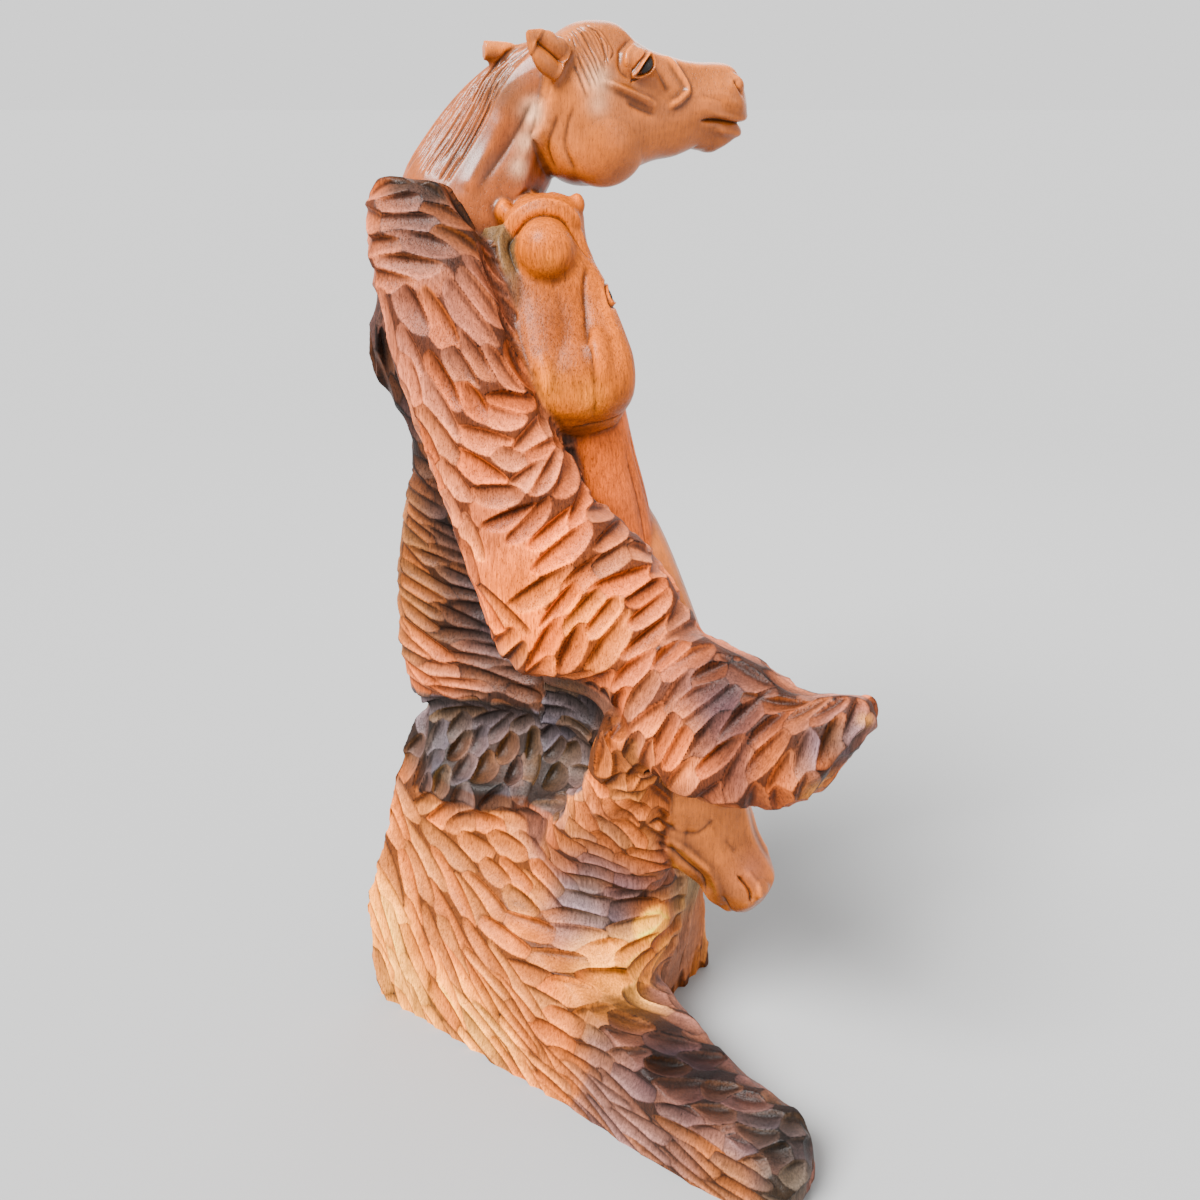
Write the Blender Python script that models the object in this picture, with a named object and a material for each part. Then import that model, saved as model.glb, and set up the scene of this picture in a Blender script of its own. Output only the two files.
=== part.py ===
"""Horse heads sculpture: one trunk with its root, carved into three horse heads.

The work is a single piece of wood, so it is a single closed solid. The trunk is a few boards and
blocks swept through stations, the three heads come from one head function, and a voxel skin fuses
them before the hollow is scooped out and the underside is sawn flat.
Metres, +Z up, the front faces -Y, origin on the ground under the trunk.
"""
import math

import bmesh
import bpy
import numpy as np
from mathutils import Matrix, Vector

# Driving sizes
SKIN_VOXEL = 0.0055
SKIN_SMOOTHING = 4
FACET_SHARE = 0.038
SECTION_SIDES = 28
STEPS_BETWEEN = 4
ROUND = 2.0
NECK_SQUARENESS = 2.2
BOARD_SQUARENESS = 2.8
WOOD_COLOUR = (0.36, 0.115, 0.035, 1.0)
WOOD_ROUGHNESS = 0.38

# Boards: each station is the left edge, the right edge and the thickness
FRONT_SLAB = (
    ((-0.275, -0.030, 1.326), (-0.185, -0.030, 1.314), 0.080),
    ((-0.296, -0.040, 1.285), (-0.150, -0.045, 1.252), 0.095),
    ((-0.290, -0.050, 1.220), (-0.128, -0.070, 1.190), 0.105),
    ((-0.265, -0.070, 1.120), (-0.100, -0.090, 1.110), 0.110),
    ((-0.230, -0.090, 1.005), (-0.055, -0.110, 1.020), 0.115),
    ((-0.195, -0.100, 0.900), (0.000, -0.120, 0.932), 0.120),
    ((-0.160, -0.120, 0.795), (0.062, -0.130, 0.875), 0.125),
    ((-0.115, -0.130, 0.705), (0.102, -0.145, 0.820), 0.130),
    ((-0.020, -0.145, 0.692), (0.130, -0.160, 0.775), 0.130),
    ((0.040, -0.180, 0.650), (0.160, -0.190, 0.765), 0.130),
    ((0.070, -0.215, 0.595), (0.200, -0.220, 0.755), 0.135),
    ((0.130, -0.260, 0.570), (0.262, -0.270, 0.730), 0.130),
    ((0.215, -0.310, 0.588), (0.318, -0.320, 0.752), 0.115),
    ((0.256, -0.330, 0.610), (0.335, -0.340, 0.725), 0.095),
)
BACK_SLAB = (
    ((-0.285, 0.070, 1.225), (-0.175, 0.080, 1.260), 0.080),
    ((-0.305, 0.080, 1.165), (-0.150, 0.080, 1.210), 0.110),
    ((-0.322, 0.090, 1.105), (-0.135, 0.080, 1.155), 0.120),
    ((-0.308, 0.100, 1.045), (-0.110, 0.080, 1.075), 0.120),
    ((-0.275, 0.100, 0.990), (-0.085, 0.080, 0.990), 0.120),
    ((-0.267, 0.105, 0.935), (-0.055, 0.080, 0.900), 0.120),
    ((-0.292, 0.120, 0.830), (-0.030, 0.080, 0.810), 0.125),
    ((-0.305, 0.120, 0.700), (0.000, 0.080, 0.700), 0.130),
    ((-0.298, 0.120, 0.600), (0.020, 0.060, 0.615), 0.140),
    ((-0.262, 0.130, 0.490), (0.060, 0.040, 0.525), 0.160),
    ((-0.290, 0.140, 0.400), (0.060, 0.040, 0.400), 0.180),
)
HEARTWOOD = (
    ((-0.225, 0.030, 1.262), (-0.100, 0.020, 1.235), 0.120),
    ((-0.225, 0.020, 1.170), (-0.065, 0.010, 1.150), 0.170),
    ((-0.215, 0.010, 1.080), (-0.040, 0.010, 1.060), 0.200),
    ((-0.180, 0.010, 0.950), (-0.010, 0.020, 0.930), 0.210),
    ((-0.130, 0.010, 0.800), (0.040, 0.010, 0.780), 0.220),
    ((-0.085, 0.000, 0.680), (0.070, -0.020, 0.660), 0.200),
    ((-0.090, 0.020, 0.540), (0.085, -0.005, 0.530), 0.170),
    ((-0.130, 0.050, 0.350), (0.090, 0.050, 0.350), 0.180),
)
TOP_NECK = (
    ((-0.262, 0.060, 1.200), (-0.110, 0.060, 1.150), 0.130),
    ((-0.264, 0.070, 1.260), (-0.095, 0.070, 1.225), 0.130),
    ((-0.262, 0.080, 1.318), (-0.075, 0.080, 1.290), 0.120),
    ((-0.226, 0.090, 1.376), (-0.065, 0.085, 1.312), 0.108),
    ((-0.182, 0.090, 1.426), (-0.060, 0.085, 1.335), 0.096),
    ((-0.136, 0.085, 1.464), (-0.040, 0.080, 1.365), 0.088),
    ((-0.088, 0.080, 1.488), (-0.005, 0.080, 1.390), 0.080),
)
MIDDLE_NECK = (
    ((-0.080, 0.020, 1.110), (0.010, 0.060, 1.120), 0.130),
    ((-0.090, -0.008, 1.010), (0.026, 0.046, 1.030), 0.130),
    ((-0.078, -0.018, 0.950), (0.040, 0.046, 0.960), 0.130),
    ((-0.060, -0.026, 0.870), (0.056, 0.046, 0.890), 0.135),
    ((-0.030, -0.010, 0.790), (0.066, 0.040, 0.820), 0.135),
    ((-0.030, -0.010, 0.700), (0.072, 0.030, 0.730), 0.130),
)
# The middle horse looks up, so its throat and jaw are one broad sloping board
MIDDLE_JAW = (
    ((-0.112, -0.026, 1.225), (-0.036, -0.026, 1.225), 0.050),
    ((-0.120, -0.034, 1.175), (-0.028, -0.032, 1.175), 0.064),
    ((-0.120, -0.048, 1.125), (-0.014, -0.046, 1.125), 0.084),
    ((-0.112, -0.060, 1.080), (-0.002, -0.058, 1.080), 0.098),
    ((-0.098, -0.058, 1.048), (0.004, -0.056, 1.048), 0.090),
    ((-0.080, -0.046, 1.026), (0.000, -0.044, 1.026), 0.056),
)
WEB = (
    ((-0.150, -0.010, 1.262), (-0.080, 0.014, 1.262), 0.030),
    ((-0.145, -0.028, 1.225), (-0.078, -0.004, 1.225), 0.050),
    ((-0.128, -0.045, 1.170), (-0.070, -0.018, 1.170), 0.060),
    ((-0.108, -0.062, 1.110), (-0.058, -0.032, 1.110), 0.062),
    ((-0.085, -0.085, 1.030), (-0.030, -0.045, 1.030), 0.062),
)
LOWER_NECK = (
    ((-0.020, 0.030, 0.900), (0.020, 0.060, 0.950), 0.090),
    ((-0.010, 0.010, 0.760), (0.080, 0.030, 0.860), 0.110),
    ((0.020, -0.030, 0.660), (0.125, -0.010, 0.760), 0.115),
    ((0.050, -0.060, 0.570), (0.170, -0.050, 0.640), 0.100),
)
SHOULDER = (
    ((0.012, -0.172, 0.660), (0.086, -0.215, 0.660), 0.100),
    ((-0.018, -0.124, 0.565), (0.087, -0.158, 0.565), 0.096),
    ((-0.055, -0.076, 0.480), (0.100, -0.132, 0.480), 0.092),
    ((-0.080, -0.036, 0.400), (0.110, -0.100, 0.400), 0.090),
    ((-0.085, -0.010, 0.330), (0.106, -0.066, 0.330), 0.082),
)
HOLLOW_LIP = (
    ((-0.075, -0.105, 0.680), 0.014),
    ((-0.036, -0.122, 0.686), 0.022),
    ((0.000, -0.134, 0.682), 0.026),
    ((0.030, -0.150, 0.660), 0.029),
    ((0.050, -0.168, 0.620), 0.030),
    ((0.052, -0.174, 0.575), 0.030),
    ((0.034, -0.160, 0.530), 0.028),
    ((0.000, -0.130, 0.490), 0.022),
)

# Roots that flare out of the far side, down to the ground
FAR_ROOTS = (
    (((-0.190, 0.120, 0.900), 0.050), ((-0.200, 0.150, 0.600), 0.066),
     ((-0.215, 0.175, 0.300), 0.082), ((-0.250, 0.190, 0.080), 0.090), ((-0.265, 0.195, -0.030), 0.092)),
    (((-0.060, 0.110, 1.000), 0.045), ((-0.070, 0.140, 0.650), 0.070),
     ((-0.060, 0.170, 0.350), 0.085), ((-0.030, 0.200, 0.100), 0.096), ((-0.020, 0.210, -0.030), 0.100)),
)

# The root block, in slices: height at the middle, rise towards the back, and seven corners
# (left, ridge, front, right front, right back, back, left back)
ROOT_BLOCK = (
    (-0.030, 0.0, ((-0.374, 0.100), (-0.010, -0.210), (0.060, -0.160), (0.105, 0.080),
                   (0.192, 0.190), (0.060, 0.280), (-0.230, 0.255))),
    (0.080, 0.0, ((-0.384, 0.105), (-0.010, -0.195), (0.050, -0.140), (0.100, 0.020),
                  (0.186, 0.178), (0.050, 0.262), (-0.230, 0.245))),
    (0.170, 0.0, ((-0.386, 0.110), (-0.020, -0.170), (0.040, -0.125), (0.104, -0.015),
                  (0.174, 0.160), (0.040, 0.242), (-0.225, 0.232))),
    (0.215, 0.0, ((-0.376, 0.112), (-0.090, -0.100), (0.030, -0.110), (0.106, -0.030),
                  (0.178, 0.155), (0.034, 0.230), (-0.220, 0.225))),
    (0.260, 0.0, ((-0.362, 0.115), (-0.175, -0.015), (0.010, -0.095), (0.108, -0.042),
                  (0.184, 0.150), (0.030, 0.220), (-0.215, 0.220))),
    (0.320, 0.10, ((-0.345, 0.120), (-0.260, 0.060), (-0.010, -0.082), (0.108, -0.050),
                   (0.170, 0.125), (0.028, 0.205), (-0.205, 0.212))),
    (0.375, 0.40, ((-0.325, 0.130), (-0.235, 0.055), (-0.020, -0.065), (0.102, -0.055),
                   (0.140, 0.090), (0.025, 0.190), (-0.190, 0.205))),
    (0.430, 0.60, ((-0.285, 0.140), (-0.170, 0.050), (-0.020, -0.045), (0.094, -0.060),
                   (0.110, 0.060), (0.020, 0.170), (-0.170, 0.190))),
)
# The foot: sections across its run, from the ground over the ridge and the far edge to the ground
FOOT = (
    ((-0.200, -0.030, -0.030), (-0.160, -0.020, 0.235), (0.040, 0.060, 0.160), (0.090, 0.140, -0.030)),
    ((-0.100, -0.130, -0.030), (-0.082, -0.104, 0.208), (0.092, -0.020, 0.130), (0.120, 0.100, -0.030)),
    ((-0.010, -0.215, -0.030), (-0.015, -0.175, 0.178), (0.135, -0.110, 0.124), (0.165, 0.010, -0.030)),
    ((0.071, -0.289, -0.030), (0.084, -0.275, 0.122), (0.200, -0.220, 0.114), (0.232, -0.100, -0.030)),
    ((0.139, -0.340, -0.030), (0.155, -0.338, 0.110), (0.262, -0.290, 0.116), (0.296, -0.180, -0.030)),
    ((0.190, -0.375, -0.030), (0.205, -0.382, 0.092), (0.284, -0.345, 0.110), (0.312, -0.250, -0.030)),
    ((0.240, -0.410, -0.030), (0.248, -0.415, 0.062), (0.282, -0.385, 0.070), (0.302, -0.310, -0.030)),
)
# The hollow is two scoops: centre, radii, turn and tilt in degrees
HOLLOW = (
    ((-0.195, 0.012, 0.497), (0.225, 0.085, 0.060), -22, 48),
    ((-0.062, -0.086, 0.584), (0.084, 0.071, 0.084), 0, -10),
)

# A head about 0.27 long, muzzle along +X, poll up: reach, top, bottom, and the half widths of its
# bridge, sides and jaw
HEAD_SECTIONS = (
    (-0.085, 0.070, -0.040, 0.022, 0.034, 0.022),
    (-0.055, 0.095, -0.080, 0.030, 0.044, 0.036),
    (-0.030, 0.104, -0.092, 0.033, 0.048, 0.042),
    (0.000, 0.106, -0.090, 0.034, 0.049, 0.044),
    (0.025, 0.093, -0.080, 0.035, 0.048, 0.042),
    (0.050, 0.086, -0.064, 0.032, 0.045, 0.039),
    (0.078, 0.082, -0.050, 0.028, 0.042, 0.035),
    (0.105, 0.079, -0.042, 0.025, 0.039, 0.031),
    (0.130, 0.080, -0.032, 0.025, 0.038, 0.026),
    (0.150, 0.083, -0.028, 0.026, 0.039, 0.023),
    (0.170, 0.083, -0.025, 0.026, 0.041, 0.021),
    (0.185, 0.070, -0.016, 0.024, 0.037, 0.019),
    (0.197, 0.055, -0.004, 0.018, 0.026, 0.016),
    (0.205, 0.044, 0.012, 0.008, 0.013, 0.008),
)
# Where the corners of a section stand: which half width, its share, and how far down its depth
SECTION_CORNERS = (
    ("bridge", 0.75, 0.03),
    ("bridge", 1.00, 0.12),
    ("side", 1.00, 0.42),
    ("jaw", 1.15, 0.78),
    ("jaw", 0.75, 0.95),
)
# Round masses on one side of the head: centre and radii
CHEEK = ((-0.003, 0.028, -0.031), (0.061, 0.026, 0.059))
BROW = ((0.030, 0.040, 0.064), (0.026, 0.013, 0.020))
NOSTRIL_RIM = ((0.170, 0.026, 0.052), (0.016, 0.014, 0.018))
BALL_SIDES = 24
BALL_RINGS = 14
EAR_ROOT = Vector((-0.076, 0.036, 0.064))
EAR_REACH = Vector((-0.066, 0.020, 0.004))
EAR_HALF_WIDTH = 0.022
EAR_HALF_DEPTH = 0.010
EAR_FACING = Vector((0.25, 1.0, 0.1))
EAR_SECTIONS = 9
EAR_SIDES = 16
EAR_SWELL = (0.28, 0.98)
EAR_FULLNESS = 0.8
GROUND_WIDTH = 3.0
GROUND_DEPTH = 1.0

# Heads: where the middle of the cheeks is, muzzle and poll directions, how much longer, wider and
# deeper each is than the plain head, how much broader its jaw is, which sides its ears are on, how
# far they stand out from the neck, and the masses of its chin and nose
HEADS = {
    "top": ((0.000, 0.080, 1.400), (0.895, 0.417, -0.157), (0.15, 0.07, 1.0), (1.03, 1.0, 1.03), 1.0,
            (-1, 1), 1.0, (((0.158, 0.0, -0.016), (0.021, 0.018, 0.013)),)),
    "middle": ((-0.034, -0.010, 1.092), (-0.200, 0.0, 0.980), (0.0, 1.0, 0.0), (1.05, 1.2, 1.1), 1.3,
               (-1, 1), -0.5, (((0.142, -0.004, -0.024), (0.040, 0.031, 0.031)),
                               ((0.170, -0.004, 0.008), (0.036, 0.042, 0.032)))),
    "lower": ((0.098, -0.080, 0.510), (0.36, -0.05, -0.93), (0.93, 0.10, 0.36), (1.18, 1.15, 1.10), 1.0,
              (1,), 0.6, (((0.158, 0.0, -0.012), (0.024, 0.020, 0.014)),)),
}


def clear_scene():
    for item in list(bpy.data.objects):
        bpy.data.objects.remove(item, do_unlink=True)


def between_stations(stations):
    """A smooth run of rows through the given rows, by Catmull-Rom."""
    rows = np.array(stations, dtype=float)
    padded = np.vstack((2 * rows[0] - rows[1], rows, 2 * rows[-1] - rows[-2]))
    smooth = []
    for i in range(len(rows) - 1):
        a, b, c, d = padded[i:i + 4]
        for t in np.arange(STEPS_BETWEEN) / STEPS_BETWEEN:
            smooth.append(0.5 * (2 * b + (c - a) * t + (2 * a - 5 * b + 4 * c - d) * t ** 2
                                 + (3 * b - a - 3 * c + d) * t ** 3))
    smooth.append(rows[-1])
    return np.array(smooth)


def add_rings(bm, rings):
    """Bridge a run of rings of points into one closed skin."""
    loops = [[bm.verts.new(point) for point in ring] for ring in rings]
    count = len(loops[0])
    for lower, upper in zip(loops, loops[1:]):
        for i in range(count):
            j = (i + 1) % count
            bm.faces.new((lower[i], lower[j], upper[j], upper[i]))
    bm.faces.new(list(reversed(loops[0])))
    bm.faces.new(loops[-1])


def squared_circle(squareness):
    """Points round a circle, squared towards a box: 2 is round."""
    turns = np.linspace(0, 2 * math.pi, SECTION_SIDES, endpoint=False)
    cosines = np.cos(turns)
    sines = np.sin(turns)
    return (np.sign(cosines) * np.abs(cosines) ** (2 / squareness),
            np.sign(sines) * np.abs(sines) ** (2 / squareness))


def add_board(bm, stations, squareness=BOARD_SQUARENESS):
    """Sweep a rounded board through its stations."""
    rows = between_stations([(*left, *right, thick) for left, right, thick in stations])
    middles = (rows[:, 0:3] + rows[:, 3:6]) / 2
    along = np.gradient(middles, axis=0)
    across, through = squared_circle(squareness)
    rings = []
    for row, middle, step in zip(rows, middles, along):
        half = (row[3:6] - row[0:3]) / 2
        facing = np.cross(half, step)
        facing *= row[6] / 2 / np.linalg.norm(facing)
        rings.append([middle + half * a + facing * b for a, b in zip(across, through)])
    add_rings(bm, rings)


def add_tube(bm, stations):
    """Sweep a round tube through centre points with radii."""
    rows = between_stations([(*centre, radius) for centre, radius in stations])
    along = np.gradient(rows[:, 0:3], axis=0)
    across, through = squared_circle(ROUND)
    rings = []
    for row, step in zip(rows, along):
        side = np.cross(step, (0, 1, 0))
        side /= np.linalg.norm(side)
        front = np.cross(side, step)
        front /= np.linalg.norm(front)
        rings.append([row[0:3] + row[3] * (side * a + front * b) for a, b in zip(across, through)])
    add_rings(bm, rings)


def add_block(bm, sections):
    """Skin a block whose sections all have the same corners, given as points."""
    count = len(sections[0])
    rows = between_stations([np.ravel(section) for section in sections])
    add_rings(bm, rows.reshape(len(rows), count, 3))


def head_section(row, broader):
    """The closed outline of one slice through the head, across the muzzle's direction."""
    reach, top, bottom, bridge, side, jaw = row
    widths = {"bridge": bridge, "side": side, "jaw": jaw * broader}
    half = [(widths[name] * share, top - (top - bottom) * drop) for name, share, drop in SECTION_CORNERS]
    other_half = [(-y, z) for y, z in reversed(half)]
    return [(reach, y, z) for y, z in ((0, top), *half, (0, bottom), *other_half)]


def add_ball(bm, centre, radii, turn=Matrix.Identity(4)):
    """An ellipsoid."""
    made = bmesh.ops.create_uvsphere(bm, u_segments=BALL_SIDES, v_segments=BALL_RINGS, radius=1.0)
    shape = Matrix.Translation(centre) @ turn @ Matrix.Diagonal((*radii, 1.0))
    bmesh.ops.transform(bm, matrix=shape, verts=made["verts"])


def add_ear(bm, side, spread):
    """A pointed ear, laid back along the neck."""
    mirror = Vector((1, side, 1))
    root = EAR_ROOT * mirror
    run = EAR_REACH * mirror * Vector((1, spread, 1))
    across = run.cross(EAR_FACING * mirror).normalized()
    outward = across.cross(run).normalized()
    rings = []
    for share in np.linspace(0, 1, EAR_SECTIONS):
        swell = math.sin(math.pi * (EAR_SWELL[0] + (EAR_SWELL[1] - EAR_SWELL[0]) * share)) ** EAR_FULLNESS
        rings.append([root + run * share
                      + across * (EAR_HALF_WIDTH * swell * math.cos(turn))
                      + outward * (EAR_HALF_DEPTH * swell * math.sin(turn))
                      for turn in np.linspace(0, 2 * math.pi, EAR_SIDES, endpoint=False)])
    add_rings(bm, rings)


def add_head(bm, place, muzzle, poll, scale, broader, ear_sides, ear_spread, masses):
    """One horse head, modelled along +X and then turned to its pose."""
    head = bmesh.new()
    rows = between_stations(HEAD_SECTIONS)
    add_rings(head, [head_section(row, broader) for row in rows])
    for side in (-1, 1):
        for centre, radii in (CHEEK, BROW, NOSTRIL_RIM):
            add_ball(head, (centre[0], centre[1] * side, centre[2]), radii)
    for side in ear_sides:
        add_ear(head, side, ear_spread)
    for centre, radii in masses:
        add_ball(head, centre, radii)
    forward = Vector(muzzle).normalized()
    sideways = Vector(poll).cross(forward).normalized()
    upward = forward.cross(sideways)
    turn = Matrix((forward, sideways, upward)).transposed().to_4x4()
    pose = Matrix.Translation(place) @ turn @ Matrix.Diagonal((*scale, 1.0))
    bmesh.ops.transform(head, matrix=pose, verts=head.verts)
    posed = bpy.data.meshes.new("posed_head")
    head.to_mesh(posed)
    head.free()
    bm.from_mesh(posed)
    bpy.data.meshes.remove(posed)


def stained_wood():
    wood = bpy.data.materials.new("stained_wood")
    wood.use_nodes = True
    surface = wood.node_tree.nodes["Principled BSDF"]
    surface.inputs["Base Color"].default_value = WOOD_COLOUR
    surface.inputs["Roughness"].default_value = WOOD_ROUGHNESS
    surface.inputs["Metallic"].default_value = 0.0
    return wood


def mesh_object(name, bm):
    """Close a bmesh into an object in the scene, its faces pointing out."""
    bmesh.ops.recalc_face_normals(bm, faces=bm.faces)
    mesh = bpy.data.meshes.new(name)
    bm.to_mesh(mesh)
    bm.free()
    item = bpy.data.objects.new(name, mesh)
    bpy.context.scene.collection.objects.link(item)
    return item


def cutter(name, bm):
    item = mesh_object(name, bm)
    item.display_type = "WIRE"
    item.hide_render = True
    return item


def hollow_cutter(name, centre, radii, turn, tilt):
    """One scoop between the back slab and the top of the root."""
    bm = bmesh.new()
    turned = Matrix.Rotation(math.radians(turn), 4, "Z") @ Matrix.Rotation(math.radians(tilt), 4, "X")
    add_ball(bm, centre, radii, turned)
    return cutter(name, bm)


def ground_cutter():
    """Everything below the level that the root stands on."""
    bm = bmesh.new()
    place = Matrix.Translation((0, 0, -GROUND_DEPTH / 2))
    size = place @ Matrix.Diagonal((GROUND_WIDTH, GROUND_WIDTH, GROUND_DEPTH, 1))
    bmesh.ops.create_cube(bm, size=1.0, matrix=size)
    return cutter("ground_cutter", bm)


def sculpture():
    """Fuse the boards, blocks and heads into one solid, scoop it and saw it flat below."""
    bm = bmesh.new()
    for board in (FRONT_SLAB, BACK_SLAB, HEARTWOOD, SHOULDER):
        add_board(bm, board)
    for neck in (TOP_NECK, MIDDLE_NECK, MIDDLE_JAW, WEB, LOWER_NECK):
        add_board(bm, neck, NECK_SQUARENESS)
    for tube in (HOLLOW_LIP, *FAR_ROOTS):
        add_tube(bm, tube)
    add_block(bm, [[(x, y, height + rise * y) for x, y in corners]
                   for height, rise, corners in ROOT_BLOCK])
    add_block(bm, FOOT)
    for plan in HEADS.values():
        add_head(bm, *plan)
    item = mesh_object("horse_heads_sculpture", bm)
    item.data.materials.append(stained_wood())

    skin = item.modifiers.new("one_skin", "REMESH")
    skin.mode = "VOXEL"
    skin.voxel_size = SKIN_VOXEL
    for number, scoop in enumerate(HOLLOW, start=1):
        hollow = item.modifiers.new("hollow_%d" % number, "BOOLEAN")
        hollow.operation = "DIFFERENCE"
        hollow.object = hollow_cutter("hollow_cutter_%d" % number, *scoop)
    even = item.modifiers.new("even", "REMESH")
    even.mode = "VOXEL"
    even.voxel_size = SKIN_VOXEL
    soften = item.modifiers.new("soften", "SMOOTH")
    soften.iterations = SKIN_SMOOTHING
    facets = item.modifiers.new("facets", "DECIMATE")
    facets.ratio = FACET_SHARE
    saw = item.modifiers.new("saw_flat", "BOOLEAN")
    saw.operation = "DIFFERENCE"
    saw.object = ground_cutter()
    return item


clear_scene()
sculpture()
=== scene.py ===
import math

import bmesh
import bpy
import numpy as np
from mathutils import Matrix, Vector
from mathutils.bvhtree import BVHTree


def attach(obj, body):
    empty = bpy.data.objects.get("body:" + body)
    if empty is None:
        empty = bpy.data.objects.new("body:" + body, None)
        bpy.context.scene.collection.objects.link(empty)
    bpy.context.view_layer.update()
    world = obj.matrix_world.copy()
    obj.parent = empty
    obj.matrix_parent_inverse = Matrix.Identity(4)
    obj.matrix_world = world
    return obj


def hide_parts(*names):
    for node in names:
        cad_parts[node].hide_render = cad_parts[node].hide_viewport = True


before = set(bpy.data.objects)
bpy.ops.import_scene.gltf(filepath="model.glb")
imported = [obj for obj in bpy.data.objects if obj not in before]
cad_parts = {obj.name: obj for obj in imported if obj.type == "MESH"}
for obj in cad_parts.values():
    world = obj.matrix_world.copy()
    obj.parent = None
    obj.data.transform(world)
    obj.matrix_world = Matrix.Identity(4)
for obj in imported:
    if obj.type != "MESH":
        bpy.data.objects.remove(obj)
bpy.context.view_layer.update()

# The trunk: one length of root wood, hewn to two broad slabs either side of a core. It stands on
# the block of its own root, and a long foot of root runs out to the front right.

# Boards: each station is the left edge, the right edge and the thickness
FRONT_SLAB = (
    ((-0.275, -0.03, 1.326), (-0.185, -0.03, 1.314), 0.08),
    ((-0.296, -0.04, 1.285), (-0.15, -0.045, 1.252), 0.095),
    ((-0.29, -0.05, 1.22), (-0.128, -0.07, 1.19), 0.105),
    ((-0.265, -0.07, 1.12), (-0.1, -0.09, 1.11), 0.11),
    ((-0.23, -0.09, 1.005), (-0.055, -0.11, 1.02), 0.115),
    ((-0.195, -0.1, 0.9), (0.0, -0.12, 0.932), 0.12),
    ((-0.16, -0.12, 0.795), (0.062, -0.13, 0.875), 0.125),
    ((-0.115, -0.13, 0.705), (0.102, -0.145, 0.82), 0.13),
    ((-0.02, -0.145, 0.692), (0.13, -0.16, 0.775), 0.13),
    ((0.04, -0.18, 0.65), (0.16, -0.19, 0.765), 0.13),
    ((0.07, -0.215, 0.595), (0.2, -0.22, 0.755), 0.135),
    ((0.13, -0.26, 0.57), (0.262, -0.27, 0.73), 0.13),
    ((0.215, -0.31, 0.588), (0.318, -0.32, 0.752), 0.115),
    ((0.256, -0.33, 0.61), (0.335, -0.34, 0.725), 0.095),
)
BACK_SLAB = (
    ((-0.285, 0.07, 1.225), (-0.175, 0.08, 1.26), 0.08),
    ((-0.305, 0.08, 1.165), (-0.15, 0.08, 1.21), 0.11),
    ((-0.322, 0.09, 1.105), (-0.135, 0.08, 1.155), 0.12),
    ((-0.308, 0.1, 1.045), (-0.11, 0.08, 1.075), 0.12),
    ((-0.275, 0.1, 0.99), (-0.085, 0.08, 0.99), 0.12),
    ((-0.267, 0.105, 0.935), (-0.055, 0.08, 0.9), 0.12),
    ((-0.292, 0.12, 0.83), (-0.03, 0.08, 0.81), 0.125),
    ((-0.305, 0.12, 0.7), (0.0, 0.08, 0.7), 0.13),
    ((-0.298, 0.12, 0.6), (0.02, 0.06, 0.615), 0.14),
    ((-0.262, 0.13, 0.49), (0.06, 0.04, 0.525), 0.16),
    ((-0.29, 0.14, 0.4), (0.06, 0.04, 0.4), 0.18),
)
HEARTWOOD = (
    ((-0.225, 0.03, 1.262), (-0.1, 0.02, 1.235), 0.12),
    ((-0.225, 0.02, 1.17), (-0.065, 0.01, 1.15), 0.17),
    ((-0.215, 0.01, 1.08), (-0.04, 0.01, 1.06), 0.2),
    ((-0.18, 0.01, 0.95), (-0.01, 0.02, 0.93), 0.21),
    ((-0.13, 0.01, 0.8), (0.04, 0.01, 0.78), 0.22),
    ((-0.085, 0.0, 0.68), (0.07, -0.02, 0.66), 0.2),
    ((-0.09, 0.02, 0.54), (0.085, -0.005, 0.53), 0.17),
    ((-0.13, 0.05, 0.35), (0.09, 0.05, 0.35), 0.18),
)
SHOULDER = (
    ((0.012, -0.172, 0.66), (0.086, -0.215, 0.66), 0.1),
    ((-0.018, -0.124, 0.565), (0.087, -0.158, 0.565), 0.096),
    ((-0.055, -0.076, 0.48), (0.1, -0.132, 0.48), 0.092),
    ((-0.08, -0.036, 0.4), (0.11, -0.1, 0.4), 0.09),
    ((-0.085, -0.01, 0.33), (0.106, -0.066, 0.33), 0.082),
)
# Tubes: each station is the centre and the radius
HOLLOW_LIP = (
    ((-0.075, -0.105, 0.68), 0.014),
    ((-0.036, -0.122, 0.686), 0.022),
    ((0.0, -0.134, 0.682), 0.026),
    ((0.03, -0.15, 0.66), 0.029),
    ((0.05, -0.168, 0.62), 0.03),
    ((0.052, -0.174, 0.575), 0.03),
    ((0.034, -0.16, 0.53), 0.028),
    ((0.0, -0.13, 0.49), 0.022),
)
FAR_ROOTS = (
    (((-0.19, 0.12, 0.9), 0.05), ((-0.2, 0.15, 0.6), 0.066),
     ((-0.215, 0.175, 0.3), 0.082), ((-0.25, 0.19, 0.08), 0.09), ((-0.265, 0.195, -0.03), 0.092)),
    (((-0.06, 0.11, 1.0), 0.045), ((-0.07, 0.14, 0.65), 0.07),
     ((-0.06, 0.17, 0.35), 0.085), ((-0.03, 0.2, 0.1), 0.096), ((-0.02, 0.21, -0.03), 0.1)),
)
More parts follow.
